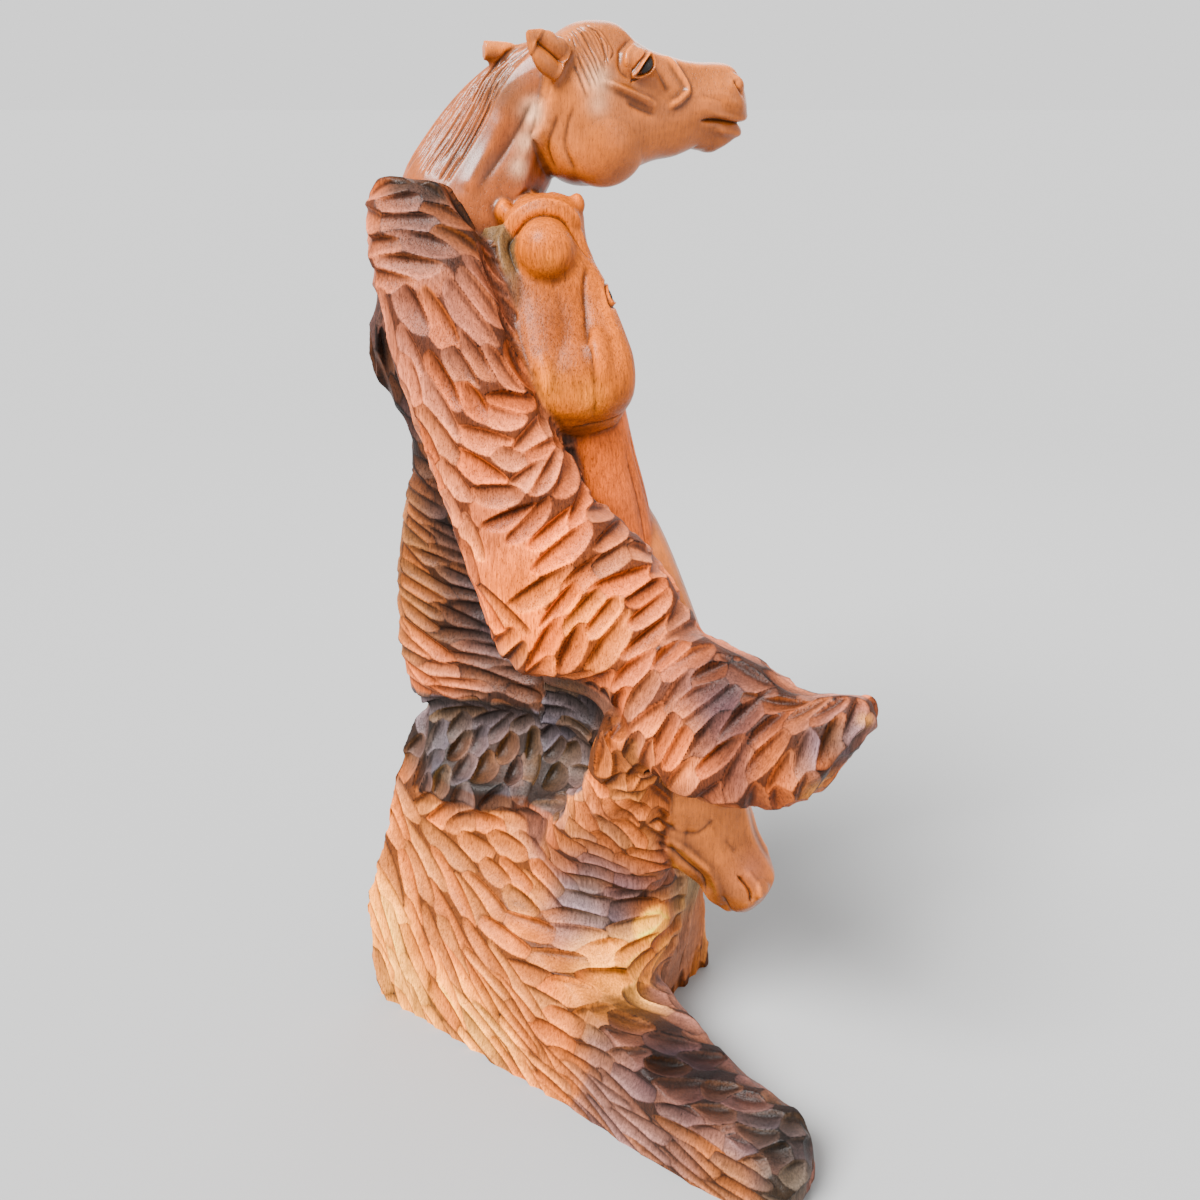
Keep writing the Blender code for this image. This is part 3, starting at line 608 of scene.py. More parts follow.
# Side (0 both), width, height (below zero cuts in), then the line in the plan of the head
KNIFE_WORK = {
    "top": (
        (0, 0.0048, 0.0062, ((-0.02, 0.048, 0.034), (0.014, 0.048, 0.027), (0.052, 0.045, 0.018))),
        (0, 0.004, -0.003, ((0.014, 0.049, 0.014), (0.034, 0.048, 0.009), (0.054, 0.044, 0.006))),
        (0, 0.0045, 0.0062, ((0.074, 0.022, 0.078), (0.101, 0.033, 0.046), (0.093, 0.039, 0.031),
                             (0.078, 0.041, 0.02))),
        (0, 0.017, -0.0085, ((0.056, 0.03, 0.066), (0.072, 0.036, 0.042))),
        (0, 0.0038, -0.007, ((0.166, 0.034, 0.066), (0.176, 0.04, 0.056), (0.188, 0.036, 0.05))),
        (0, 0.005, 0.0024, ((0.16, 0.026, 0.074), (0.178, 0.032, 0.068), (0.192, 0.028, 0.056))),
        (0, 0.014, -0.0035, ((0.128, 0.036, 0.04), (0.15, 0.038, 0.036))),
        (0, 0.0032, -0.0095, ((0.206, 0.0, 0.016), (0.196, 0.019, 0.013), (0.16, 0.032, 0.011),
                              (0.13, 0.032, 0.009))),
        (0, 0.0055, 0.0032, ((0.204, 0.006, 0.026), (0.19, 0.024, 0.021), (0.14, 0.034, 0.019))),
        (0, 0.006, 0.004, ((0.2, 0.004, 0.004), (0.19, 0.018, 0.002), (0.158, 0.03, 0.0))),
        (0, 0.008, -0.003, ((0.134, 0.0, -0.034), (0.136, 0.018, -0.026))),
        (0, 0.04, 0.0055, ((-0.006, 0.05, -0.046), (0.0, 0.05, -0.042))),
        (0, 0.007, -0.003, ((-0.056, 0.044, 0.0), (-0.062, 0.044, -0.03), (-0.06, 0.043, -0.052),
                              (-0.04, 0.04, -0.078))),
        (0, 0.0035, -0.0034, ((0.014, 0.036, 0.09), (-0.002, 0.044, 0.074), (0.0, 0.047, 0.052),
                              (0.014, 0.048, 0.042))),
        (0, 0.004, 0.0034, ((0.02, 0.036, 0.088), (0.005, 0.044, 0.074), (0.006, 0.048, 0.054))),
        (0, 0.016, 0.003, ((-0.03, 0.044, 0.056), (-0.036, 0.046, 0.03))),
    ),
    "middle": (
        (1, 0.004, -0.0085, ((0.122, -0.042, -0.01), (0.156, -0.041, -0.016), (0.178, -0.026, -0.02),
                              (0.186, -0.004, -0.02), (0.178, 0.018, -0.02), (0.156, 0.033, -0.016),
                              (0.124, 0.034, -0.012))),
        (1, 0.0055, 0.0032, ((0.12, -0.05, 0.0), (0.16, -0.05, -0.004), (0.187, -0.033, -0.008),
                             (0.198, -0.004, -0.008), (0.187, 0.025, -0.008), (0.16, 0.042, -0.004),
                             (0.124, 0.042, 0.0))),
        (1, 0.009, -0.006, ((0.112, 0.03, -0.018), (0.088, 0.027, -0.04), (0.057, 0.024, -0.056),
                              (0.03, 0.02, -0.074))),
        (1, 0.011, 0.0035, ((0.1, 0.04, -0.014), (0.06, 0.04, -0.032), (0.02, 0.044, -0.05))),
        (1, 0.012, -0.0035, ((0.03, 0.026, -0.072), (0.006, 0.022, -0.086), (-0.026, 0.02, -0.09),
                              (-0.06, 0.012, -0.082))),
        (1, 0.006, -0.006, ((-0.06, -0.052, -0.05), (-0.07, -0.036, -0.064), (-0.082, -0.01, -0.072),
                              (-0.082, 0.017, -0.062), (-0.072, 0.045, -0.042))),
    ),
    "lower": (
        (0, 0.03, 0.0045, ((-0.004, 0.05, -0.01), (0.012, 0.05, 0.0))),
        (0, 0.006, -0.008, ((0.01, 0.044, -0.042), (0.026, 0.046, -0.03), (0.05, 0.046, -0.016))),
        (0, 0.011, -0.004, ((0.056, 0.045, -0.01), (0.064, 0.045, 0.01), (0.056, 0.045, 0.036))),
        (0, 0.018, -0.011, ((0.15, 0.01, -0.03), (0.172, 0.01, -0.024), (0.188, 0.01, -0.012))),
        (0, 0.024, -0.006, ((0.094, 0.036, 0.04), (0.108, 0.036, 0.046))),
        (0, 0.0042, -0.0085, ((0.14, 0.04, 0.036), (0.162, 0.042, 0.044), (0.182, 0.038, 0.04))),
        (0, 0.0055, 0.004, ((0.14, 0.036, 0.048), (0.158, 0.04, 0.056), (0.18, 0.036, 0.052))),
        (0, 0.006, 0.005, ((0.064, 0.04, -0.024), (0.086, 0.04, -0.012), (0.13, 0.04, 0.003),
                             (0.176, 0.036, -0.006))),
        (0, 0.008, -0.0075, ((0.058, 0.04, -0.042), (0.088, 0.036, -0.028), (0.132, 0.034, -0.012),
                              (0.16, 0.028, -0.018))),
        (0, 0.0036, -0.0045, ((0.202, 0.0, 0.018), (0.192, 0.018, 0.01), (0.165, 0.032, 0.006))),
        (0, 0.008, 0.003, ((0.15, 0.0, 0.082), (0.1, 0.0, 0.08), (0.05, 0.01, 0.088))),
    ),
}
# Necks, and the folds of the root's right side: width, height, then the line through the sculpture
NECK_WORK = (
    (0.014, 0.0045, ((-0.068, 0.036, 1.42), (-0.082, 0.036, 1.392), (-0.104, 0.035, 1.306),
                      (-0.106, 0.02, 1.27))),
    (0.009, -0.0042, ((-0.086, 0.04, 1.415), (-0.113, 0.04, 1.367), (-0.154, 0.022, 1.313))),
    (0.008, -0.004, ((-0.05, 0.036, 1.4), (-0.062, 0.036, 1.36), (-0.076, 0.03, 1.305))),
    (0.012, 0.004, ((-0.12, 0.036, 1.4), (-0.15, 0.03, 1.345), (-0.172, 0.02, 1.305))),
    (0.01, -0.004, ((0.052, -0.03, 0.975), (0.062, -0.03, 0.9), (0.07, -0.03, 0.83))),
    (0.011, 0.009, ((0.116, -0.01, 0.38), (0.122, 0.004, 0.27), (0.12, 0.016, 0.13))),
    (0.009, -0.01, ((0.13, 0.025, 0.37), (0.138, 0.04, 0.25), (0.14, 0.055, 0.11))),
    (0.013, 0.009, ((0.15, 0.07, 0.35), (0.16, 0.085, 0.23), (0.158, 0.08, 0.09))),
    (0.008, -0.008, ((0.168, 0.11, 0.3), (0.16, 0.09, 0.17), (0.15, 0.08, 0.05))),
)
# Hair: how many locks, then the lines of the first and the last lock
HAIR = (
    (24, ((-0.056, 0.036, 1.5), (-0.048, 0.026, 1.485), (-0.03, 0.018, 1.455), (-0.014, 0.016, 1.42)),
         ((-0.014, 0.05, 1.508), (0.008, 0.036, 1.5), (0.02, 0.026, 1.486), (0.022, 0.022, 1.468))),
    (15, ((-0.03, 0.11, 1.505), (-0.034, 0.13, 1.48), (-0.046, 0.14, 1.45)),
         ((-0.004, 0.08, 1.51), (0.006, 0.12, 1.495), (0.0, 0.14, 1.47))),
    (52, ((-0.09, 0.05, 1.48), (-0.122, 0.05, 1.44), (-0.15, 0.036, 1.39), (-0.19, 0.03, 1.315)),
         ((-0.11, 0.09, 1.5), (-0.16, 0.09, 1.455), (-0.206, 0.08, 1.4), (-0.25, 0.07, 1.33))),
    (14, ((0.04, 0.0, 1.0), (0.052, 0.0, 0.94), (0.064, 0.0, 0.86)),
         ((0.04, 0.06, 1.0), (0.054, 0.06, 0.94), (0.07, 0.06, 0.86))),
)
# How far a lock strays from its line, and its least and greatest width and depth
LOCK_STRAYS = 0.0022
LOCK_WIDTH = (0.001, 0.0016)
LOCK_DEPTH = (0.0008, 0.002)
# A gouged ear: width and depth of the scoop down its middle, and the stops of its line along the ear
EAR_SCOOP = (0.011, -0.015)
EAR_SCOOP_RUN = (0.0, 0.3, 0.6, 0.8)
# How many widths a crease and a ridge reach to either side
CREASE_REACH = 4
RIDGE_REACH = 2.5
# A stroke starts at this share of its height, and gets to all of it over a fraction of its length,
# unless it is shorter than this many widths
STROKE_START = 0.35
STROKE_RISE = 5
STROKE_SHORTEST = 3
# The skin's points are looked up in cells of this size, numbered in rows of a thousand
NEAR_CELL = 0.02
CELL_ROW = 1000
# Points belong to the same side of the work when their normals agree more than this
SAME_SIDE = 0.1
chance = np.random.default_rng(seed=11)


def near_finder(places):
    """A function that gives the numbers of all places within reach of a centre, and some more."""
    key = np.floor(places / NEAR_CELL).astype(int) @ (1, CELL_ROW, CELL_ROW ** 2)
    order = np.argsort(key, kind="stable")
    found, starts = np.unique(key[order], return_index=True)
    cells = dict(zip(found.tolist(), np.split(order, starts[1:])))

    def near(centre, reach):
        low = np.floor((centre - reach) / NEAR_CELL).astype(int)
        high = np.floor((centre + reach) / NEAR_CELL).astype(int)
        hits = [cells.get(x + CELL_ROW * y + CELL_ROW ** 2 * z) for x in range(low[0], high[0] + 1)
                for y in range(low[1], high[1] + 1) for z in range(low[2], high[2] + 1)]
        hits = [hit for hit in hits if hit is not None]
        return np.concatenate(hits) if hits else np.zeros(0, dtype=int)
    return near


def stroke(line, width, height):
    """Add one stroke to the relief: a crease below zero, a round ridge above."""
    line = between_stations(line)
    line = np.array([skin_tree.find_nearest(place)[0] for place in line])
    reach = width * (CREASE_REACH if height < 0 else RIDGE_REACH)
    middle = (line.min(axis=0) + line.max(axis=0)) / 2
    close = near(middle, reach + np.linalg.norm(line - middle, axis=1).max())
    apart = np.full(len(close), np.inf)
    share = np.zeros(len(close))
    for step, (start, end) in enumerate(zip(line, line[1:])):
        run = end - start
        offset = points[close] - start
        part = np.clip(offset @ run / (run @ run + 1e-12), 0, 1)
        distance = np.linalg.norm(offset - part[:, None] * run, axis=1)
        nearer = distance < apart
        apart[nearer] = distance[nearer]
        share[nearer] = ((step + part) / (len(line) - 1))[nearer]
    long_enough = np.sum(np.linalg.norm(np.diff(line, axis=0), axis=1)) > STROKE_SHORTEST * width
    taper = np.clip(np.minimum(share, 1 - share) * STROKE_RISE + STROKE_START, 0, 1) if long_enough else 1
    profile = np.exp(-(apart / width) ** (1 if height < 0 else 2))
    relief[close] += height * profile * taper


near = near_finder(points)
relief = np.zeros(len(points))
for name, plan in HEADS.items():
    pose = head_pose(*plan["pose"])
    for side, width, height, line in KNIFE_WORK[name]:
        for mirror in ((-1, 1) if side == 0 else (side,)):
            stroke([pose @ on_side(place, mirror) for place in line], width, height)
    for root, tip, _, half_depth, square in plan["ears"]:
        root, run, _, outward = ear_frame(root, tip)
        if not square:
            stroke([pose @ (root + run * reach + outward * half_depth) for reach in EAR_SCOOP_RUN],
                   *EAR_SCOOP)
for width, height, line in NECK_WORK:
    stroke(line, width, height)
for locks, first, last in HAIR:
    for share in np.linspace(0, 1, locks):
        line = np.array(first) * (1 - share) + np.array(last) * share
        line += chance.normal(0, LOCK_STRAYS, line.shape)
        stroke(line, chance.uniform(*LOCK_WIDTH), -chance.uniform(*LOCK_DEPTH))

# Eyes: an almond ball in a socket, with lids round it and a crease behind them, stained black. The
# middle horse shows one eye, and the others have both.

# Head, side, centre of the eye in the plan, the way it faces, half length and half height
EYES = (
    ("top", -1, (0.033, 0.045, 0.061), (0.84, 0.54, 0.05), 0.0105, 0.0042),
    ("top", 1, (0.033, 0.045, 0.061), (0.84, 0.54, 0.05), 0.0105, 0.0042),
    ("middle", 1, (0.072, 0.04, -0.016), (0.25, 0.8, -0.52), 0.013, 0.0085),
    ("lower", -1, (0.03, 0.046, 0.058), (0.4, 0.91, 0.05), 0.011, 0.008),
    ("lower", 1, (0.03, 0.046, 0.058), (0.4, 0.91, 0.05), 0.011, 0.008),
)
# An eye is longest along a slant, up to the poll and a little forward
LONG_WAY = Vector((0.45, 0.0, 0.9))
# How far the ball stands out at its middle, and how deep it sits
EYEBALL_BULGE = 0.0042
EYEBALL_SUNK = 0.0016
# Round the ball, by how far out in half sizes: the slit, the lids and the crease behind them, each with
# its height, place and width. Other strokes stay clear of all that
EYE_RINGS = ((-0.0036, 1.04, 0.1), (0.004, 1.32, 0.18), (-0.0024, 1.75, 0.22))
EYE_CLEAR = 1.2
# How pointed its corners are, how sharp the edge of its black, and how far round it the work goes
EYE_POINTED = 0.5
EYE_EDGE = 6
EYE_REACH = 0.035
EYE_DEPTH = 0.02
eyeball = np.zeros(len(points))
for name, side, centre, facing, half_length, half_height in EYES:
    pose = head_pose(*HEADS[name]["pose"])
    centre = np.array(skin_tree.find_nearest(pose @ on_side(centre, side))[0])
    facing = np.array((pose.to_3x3() @ on_side(facing, side)).normalized())
    long_way = np.array((pose.to_3x3() @ LONG_WAY).normalized())
    long_way -= facing * (long_way @ facing)
    short_way = np.cross(facing, long_way)
    close = near(centre, EYE_REACH)
    offset = points[close] - centre
    close = close[(normals[close] @ facing > SAME_SIDE) & (np.abs(offset @ facing) < EYE_DEPTH)]
    offset = points[close] - centre
    along = np.abs(offset @ long_way) / half_length
    off = np.sqrt(along ** 2 + (offset @ short_way / half_height) ** 2 * (1 + EYE_POINTED * along ** 2))
    relief[close] *= np.clip(off - EYE_CLEAR, 0, 1)
    relief[close] += EYEBALL_BULGE * np.sqrt(np.clip(1 - off ** 2, 0, 1)) - EYEBALL_SUNK * (off < 1)
    for height, ring, width in EYE_RINGS:
        relief[close] += height * np.exp(-((off - ring) / width) ** 2)
    eyeball[close] = np.maximum(eyeball[close], np.clip((1.0 - off) * EYE_EDGE, 0, 1))

# The gouge cuts: the trunk is finished with a broad shallow gouge, its cuts laid like scales. They
# turn with the form: level across the top and the foot, steep on the limb, leaning on the slab.

# Where, which way the cuts run, and a cut's length, width and depth
CUTS = (
    ((-0.232, -0.084, 1.3), (1.0, 0.0, -0.15), 0.09, 0.034, 0.005),
    ((-0.15, -0.07, 1.268), (0.85, 0.2, -0.5), 0.09, 0.032, 0.0045),
    ((-0.246, -0.108, 1.23), (1.0, 0.0, -0.1), 0.08, 0.034, 0.0045),
    ((-0.234, -0.119, 1.16), (0.5, 0.0, -0.86), 0.095, 0.034, 0.0048),
    ((-0.19, -0.119, 1.18), (0.5, 0.0, -0.86), 0.095, 0.034, 0.0048),
    ((-0.14, -0.112, 1.18), (0.6, 0.0, -0.8), 0.095, 0.032, 0.0045),
    ((-0.198, -0.137, 1.094), (0.48, 0.0, -0.88), 0.095, 0.034, 0.0048),
    ((-0.14, -0.14, 1.09), (0.66, 0.0, -0.75), 0.085, 0.032, 0.0048),
    ((-0.177, -0.153, 0.958), (0.5, 0.0, -0.86), 0.07, 0.032, 0.0045),
    ((-0.125, -0.155, 1.02), (0.9, 0.0, -0.35), 0.07, 0.032, 0.0048),
    ((-0.085, -0.144, 1.05), (0.75, 0.0, 0.66), 0.085, 0.032, 0.005),
    ((-0.09, -0.16, 0.965), (0.72, 0.0, 0.7), 0.08, 0.032, 0.005),
    ((-0.04, -0.156, 0.972), (0.7, 0.0, 0.72), 0.085, 0.032, 0.005),
    ((-0.013, -0.164, 0.921), (0.78, 0.0, 0.62), 0.085, 0.032, 0.005),
    ((0.04, -0.178, 0.873), (0.8, 0.0, 0.6), 0.09, 0.032, 0.005),
    ((-0.02, -0.19, 0.84), (0.78, 0.0, 0.62), 0.09, 0.032, 0.005),
    ((-0.06, -0.19, 0.78), (0.55, 0.0, 0.84), 0.1, 0.032, 0.005),
    ((0.02, -0.201, 0.78), (0.64, 0.0, 0.77), 0.1, 0.032, 0.005),
    ((0.09, -0.214, 0.79), (0.75, 0.0, 0.66), 0.09, 0.032, 0.005),
    ((-0.153, -0.162, 0.85), (0.4, 0.0, -0.9), 0.08, 0.032, 0.004),
    ((0.076, -0.257, 0.68), (0.48, -0.2, 0.86), 0.09, 0.034, 0.005),
    ((0.124, -0.273, 0.722), (0.55, -0.2, 0.8), 0.105, 0.032, 0.005),
    ((0.172, -0.314, 0.687), (0.5, -0.2, 0.84), 0.105, 0.032, 0.005),
    ((0.217, -0.343, 0.695), (0.4, -0.2, 0.9), 0.09, 0.032, 0.005),
    ((0.272, -0.368, 0.715), (0.45, -0.1, 0.88), 0.07, 0.034, 0.005),
    ((0.229, -0.35, 0.61), (0.15, 0.0, 0.98), 0.06, 0.034, 0.005),
    ((0.2, -0.25, 0.755), (0.8, -0.6, -0.1), 0.09, 0.036, 0.005),
    ((-0.3, 0.03, 1.1), (0.15, 0.1, -1.0), 0.085, 0.032, 0.0045),
    ((-0.257, 0.061, 0.878), (1.0, 0.0, -0.42), 0.11, 0.028, 0.0042),
    ((-0.231, 0.051, 0.791), (1.0, 0.0, -0.36), 0.115, 0.026, 0.0042),
    ((-0.263, 0.059, 0.7), (1.0, 0.0, -0.36), 0.115, 0.026, 0.0042),
    ((-0.17, 0.03, 0.64), (1.0, 0.0, -0.16), 0.12, 0.026, 0.0036),
    ((-0.2, 0.04, 0.58), (1.0, 0.0, -0.06), 0.12, 0.022, 0.0025),
    ((-0.26, 0.072, 0.447), (0.35, 0.0, 0.93), 0.065, 0.036, 0.0055),
    ((-0.184, 0.054, 0.44), (0.12, 0.0, 1.0), 0.06, 0.042, 0.006),
    ((-0.1, 0.02, 0.45), (0.05, 0.0, 1.0), 0.058, 0.042, 0.006),
    ((0.0, -0.1, 0.52), (0.45, 0.2, -0.87), 0.075, 0.036, 0.005),
    ((0.05, -0.18, 0.6), (0.35, 0.2, 0.93), 0.08, 0.034, 0.0045),
    ((-0.319, 0.102, 0.333), (0.62, 0.0, -0.78), 0.15, 0.034, 0.0034),
    ((-0.321, 0.078, 0.236), (0.66, 0.0, -0.75), 0.15, 0.034, 0.0034),
    ((-0.351, 0.08, 0.121), (0.6, 0.0, -0.8), 0.15, 0.034, 0.0034),
    ((-0.251, 0.027, 0.233), (0.7, 0.0, -0.71), 0.15, 0.034, 0.0034),
    ((-0.254, 0.003, 0.1), (0.66, 0.0, -0.75), 0.15, 0.034, 0.0034),
    ((-0.17, -0.05, 0.137), (0.76, -0.3, -0.62), 0.15, 0.024, 0.0036),
    ((-0.152, 0.007, 0.371), (1.0, 0.0, -0.3), 0.08, 0.044, 0.0048),
    ((-0.059, -0.049, 0.43), (0.92, 0.0, -0.5), 0.085, 0.042, 0.0048),
    ((0.045, -0.15, 0.49), (0.55, 0.0, -0.83), 0.08, 0.042, 0.005),
    ((-0.11, -0.031, 0.335), (0.85, 0.0, -0.52), 0.08, 0.04, 0.0048),
    ((0.0, -0.061, 0.37), (1.0, 0.0, -0.08), 0.095, 0.044, 0.0045),
    ((0.0, -0.082, 0.3), (1.0, 0.0, -0.02), 0.1, 0.038, 0.004),
    ((-0.059, -0.105, 0.22), (1.0, 0.0, -0.14), 0.1, 0.042, 0.0045),
    ((0.04, -0.107, 0.22), (1.0, 0.0, 0.2), 0.095, 0.042, 0.0045),
    ((0.03, -0.12, 0.18), (1.0, 0.0, 0.05), 0.11, 0.04, 0.004),
    ((-0.029, -0.169, 0.145), (1.0, 0.0, 0.05), 0.095, 0.044, 0.0055),
    ((0.058, -0.183, 0.15), (1.0, 0.0, 0.06), 0.1, 0.044, 0.006),
    ((0.128, -0.237, 0.123), (1.0, 0.0, 0.1), 0.085, 0.046, 0.0065),
    ((0.165, -0.307, 0.114), (1.0, 0.0, 0.12), 0.07, 0.046, 0.0065),
    ((0.256, -0.355, 0.105), (1.0, 0.1, 0.12), 0.065, 0.046, 0.0065),
    ((-0.122, -0.104, 0.088), (0.72, -0.5, -0.48), 0.17, 0.022, 0.003),
    ((0.0, -0.211, 0.048), (0.72, -0.6, -0.3), 0.18, 0.022, 0.0028),
    ((0.138, -0.34, 0.04), (0.75, -0.6, -0.22), 0.16, 0.022, 0.0028),
    ((0.22, -0.18, 0.06), (0.8, -0.5, 0.2), 0.09, 0.036, 0.0045),
    ((0.15, 0.13, 0.06), (0.1, 0.1, -1.0), 0.1, 0.034, 0.0045),
    ((0.14, 0.1, 0.25), (0.0, 0.1, -1.0), 0.1, 0.034, 0.0045),
    ((0.06, 0.28, 0.12), (0.25, 0.1, -0.96), 0.11, 0.036, 0.0048),
    ((-0.12, 0.25, 0.2), (0.1, 0.1, -1.0), 0.11, 0.036, 0.0048),
    ((-0.28, 0.23, 0.2), (-0.15, 0.1, -0.98), 0.11, 0.036, 0.0048),
    ((-0.1, 0.21, 0.5), (0.2, 0.1, -0.96), 0.105, 0.036, 0.0048),
    ((-0.23, 0.2, 0.6), (-0.1, 0.1, -0.98), 0.105, 0.036, 0.0048),
    ((0.02, 0.15, 0.7), (0.4, 0.1, -0.9), 0.1, 0.036, 0.0048),
    ((-0.16, 0.17, 0.85), (0.7, 0.0, -0.7), 0.095, 0.036, 0.0048),
    ((-0.2, 0.15, 1.05), (0.75, 0.0, -0.65), 0.095, 0.036, 0.0048),
    ((-0.23, 0.14, 1.18), (0.9, 0.0, -0.4), 0.095, 0.036, 0.0048),
)
# Patches that the gouge passed over, left almost flat: centre and radii
FLATS = (
    ((-0.12, -0.17, 0.868), (0.046, 0.06, 0.052)),
    ((-0.098, -0.19, 0.795), (0.03, 0.06, 0.045)),
    ((-0.14, -0.16, 0.93), (0.024, 0.06, 0.024)),
    ((-0.205, -0.11, 1.212), (0.026, 0.06, 0.02)),
    ((0.092, -0.07, 0.245), (0.036, 0.06, 0.034)),
    ((0.03, -0.12, 0.182), (0.046, 0.05, 0.018)),
    ((0.155, 0.06, 0.18), (0.07, 0.12, 0.19)),
)
# How close the cuts lie, how their length, width and depth come out against the table, and how much
# single cuts differ from that and turn
SPACING = 0.74
CUT_SIZE = (0.84, 0.86, 1.5)
SMALLEST_CUT = (0.8, 0.85, 0.8)
LARGEST_CUT = (1.2, 1.2, 1.25)
CUT_LEANS = 0.13
# A cut is a shallow bowl with one steep side and one easy side; where two meet, a ridge stands
STEEP_SIDE = 0.46
EASY_SIDE = 1.5
BOWL_END = 0.8
BOWL_DEEP = 0.3
BOWL_REACH = 0.62
RIDGE_STANDS = 0.0012
RIDGE_LINE = 0.001
# Strokes die out to this share in the corners that no tool gets into
CORNER_SHARE = 0.25
# The sawn underside is left alone: how near the ground, and how squarely its faces look down
SAWN_RIM = 0.02
SAWN_FACING = -0.85

cut_places = np.array([row[0] for row in CUTS])
cut_runs = np.array([np.append(np.array(row[1]) / np.linalg.norm(row[1]), row[2:]) for row in CUTS])


def cut_at(number):
    """The run, length, width and depth of a cut centred on this point of the skin."""
    weight = 1 / (np.sum((cut_places - points[number]) ** 2, axis=1) ** 2 + 1e-9)
    mixed = weight @ cut_runs / weight.sum()
    lean = chance.normal(0, CUT_LEANS)
    normal = normals[number]
    run = mixed[0:3] - normal * (mixed[0:3] @ normal)
    run /= np.linalg.norm(run)
    across = np.cross(normal, run)
    run, across = (run * math.cos(lean) + across * math.sin(lean),
                   across * math.cos(lean) - run * math.sin(lean))
    if across[2] < 0:
        across = -across
    return run, across, mixed[3:6] * CUT_SIZE * chance.uniform(SMALLEST_CUT, LARGEST_CUT)


flatness = np.max([inside(points, *flat) for flat in FLATS], axis=0)
underside = (normals[:, 2] < SAWN_FACING) & (points[:, 2] < SAWN_RIM)
gouged = (polished < 0.5) & ~in_zones("lip") & ~underside & (flatness == 0) & (points[:, 2] > -SAWN_RIM)
skin_height = np.full(len(points), RIDGE_STANDS)
next_height = np.full(len(points), RIDGE_STANDS)
tone = np.full(len(points), 0.5)
tint = np.full(len(points), 0.5)
cut_side = np.zeros(len(points))
covered = ~gouged
for number in chance.permutation(np.flatnonzero(gouged)):
    if covered[number]:
        continue
    run, across, (length, width, depth) = cut_at(number)
    close = near(points[number], BOWL_REACH * length)
    close = close[normals[close] @ normals[number] > SAME_SIDE]
    offset = points[close] - points[number]
    along = offset @ run / (length / 2)
    side = offset @ across / (width / 2)
    deep = offset @ normals[number] / (width / 2)
    covered[close[(along / 2) ** 2 + (side / 2) ** 2 + (deep / 4) ** 2 < SPACING ** 2]] = True
    slant = np.where(side > 0, side / STEEP_SIDE, side / EASY_SIDE)
    height = depth * (BOWL_END * along ** 2 + slant ** 2 + BOWL_DEEP * deep ** 2 - 1)
    lower = height < skin_height[close]
    mine = close[lower]
    next_height[mine] = skin_height[mine]
    skin_height[mine] = height[lower]
    tone[mine] = chance.random()
    tint[mine] = chance.random()
    cut_side[mine] = slant[lower]
    second = ~lower & (height < next_height[close])
    next_height[close[second]] = height[second]

depth_share = spread((gouged | (flatness > 0)).astype(float), rounds=2) * (1 - polished) * open_skin
cut_depth = spread(skin_height, rounds=1) * depth_share
# Where two cuts meet: this draws the painted shadow line along each cut's edge
ridge = np.exp((skin_height - next_height) / RIDGE_LINE) * depth_share * (flatness == 0)
relief *= CORNER_SHARE + (1 - CORNER_SHARE) * open_skin
points += normals * (cut_depth + relief)[:, None]

# The wood's colour: a spirit stain brushed on, that went dark where the bark was and stayed pale on
# the fresh chip, with painted shade, painted shadows, painted sheen and painted highlights laid into
# it. The horses are sanded, polished and a warmer gold.

STAINS = {
    "rose": (0.216, 0.054, 0.021),
    "coral": (0.425, 0.088, 0.018),
    "amber": (0.64, 0.113, 0.0003),
    "tan": (0.105, 0.038, 0.02),
    "walnut": (0.07, 0.02, 0.006),
    "ochre": (0.185, 0.05, 0.007),
    "umber": (0.014, 0.008, 0.007),
    "smoke": (0.05, 0.032, 0.025),
    "char": (0.013, 0.009, 0.007),
    "soot": (0.02, 0.014, 0.012),
    "peach": (0.41, 0.097, 0.011),
    "gold": (0.74, 0.245, 0.02),
    "maroon": (0.019, 0.009, 0.009),
    "russet": (0.206, 0.04, 0.002),
    "sienna": (0.345, 0.08, 0.006),
    "honey": (0.39, 0.078, 0.0002),
    "orange": (0.6, 0.098, 0.0002),
    "chestnut": (0.4, 0.096, 0.007),
    "olive": (0.06, 0.034, 0.014),
    "brick": (0.2, 0.068, 0.036),
    "bare": (0.98, 0.33, 0.006),
    "grey": (0.086, 0.057, 0.055),
    "moss": (0.09, 0.044, 0.014),
    "plum": (0.12, 0.038, 0.021),
    "toffee": (0.185, 0.034, 0.0003),
    "painted_gold_bounce": (0.7, 0.18, 0.0003),
    "painted_highlight": (0.64, 0.34, 0.19),
    "lichen": (0.2, 0.125, 0.058),
    "clay": (0.24, 0.088, 0.044),
}
# A faint painted sheen on the top horse, added where it faces up
UPWARD_SHEEN = (0.045, 0.026, 0.014)
ZONE_STAINS = {
    "slab": "coral", "back": "walnut", "heart": "walnut", "root": "peach", "foot": "brick",
    "far_root": "tan", "lip": "tan", "neck_top": "russet", "neck_middle": "orange",
    "neck_lower": "chestnut", "web": "moss", "head_top": "sienna", "head_middle": "honey",
    "head_lower": "chestnut",
}
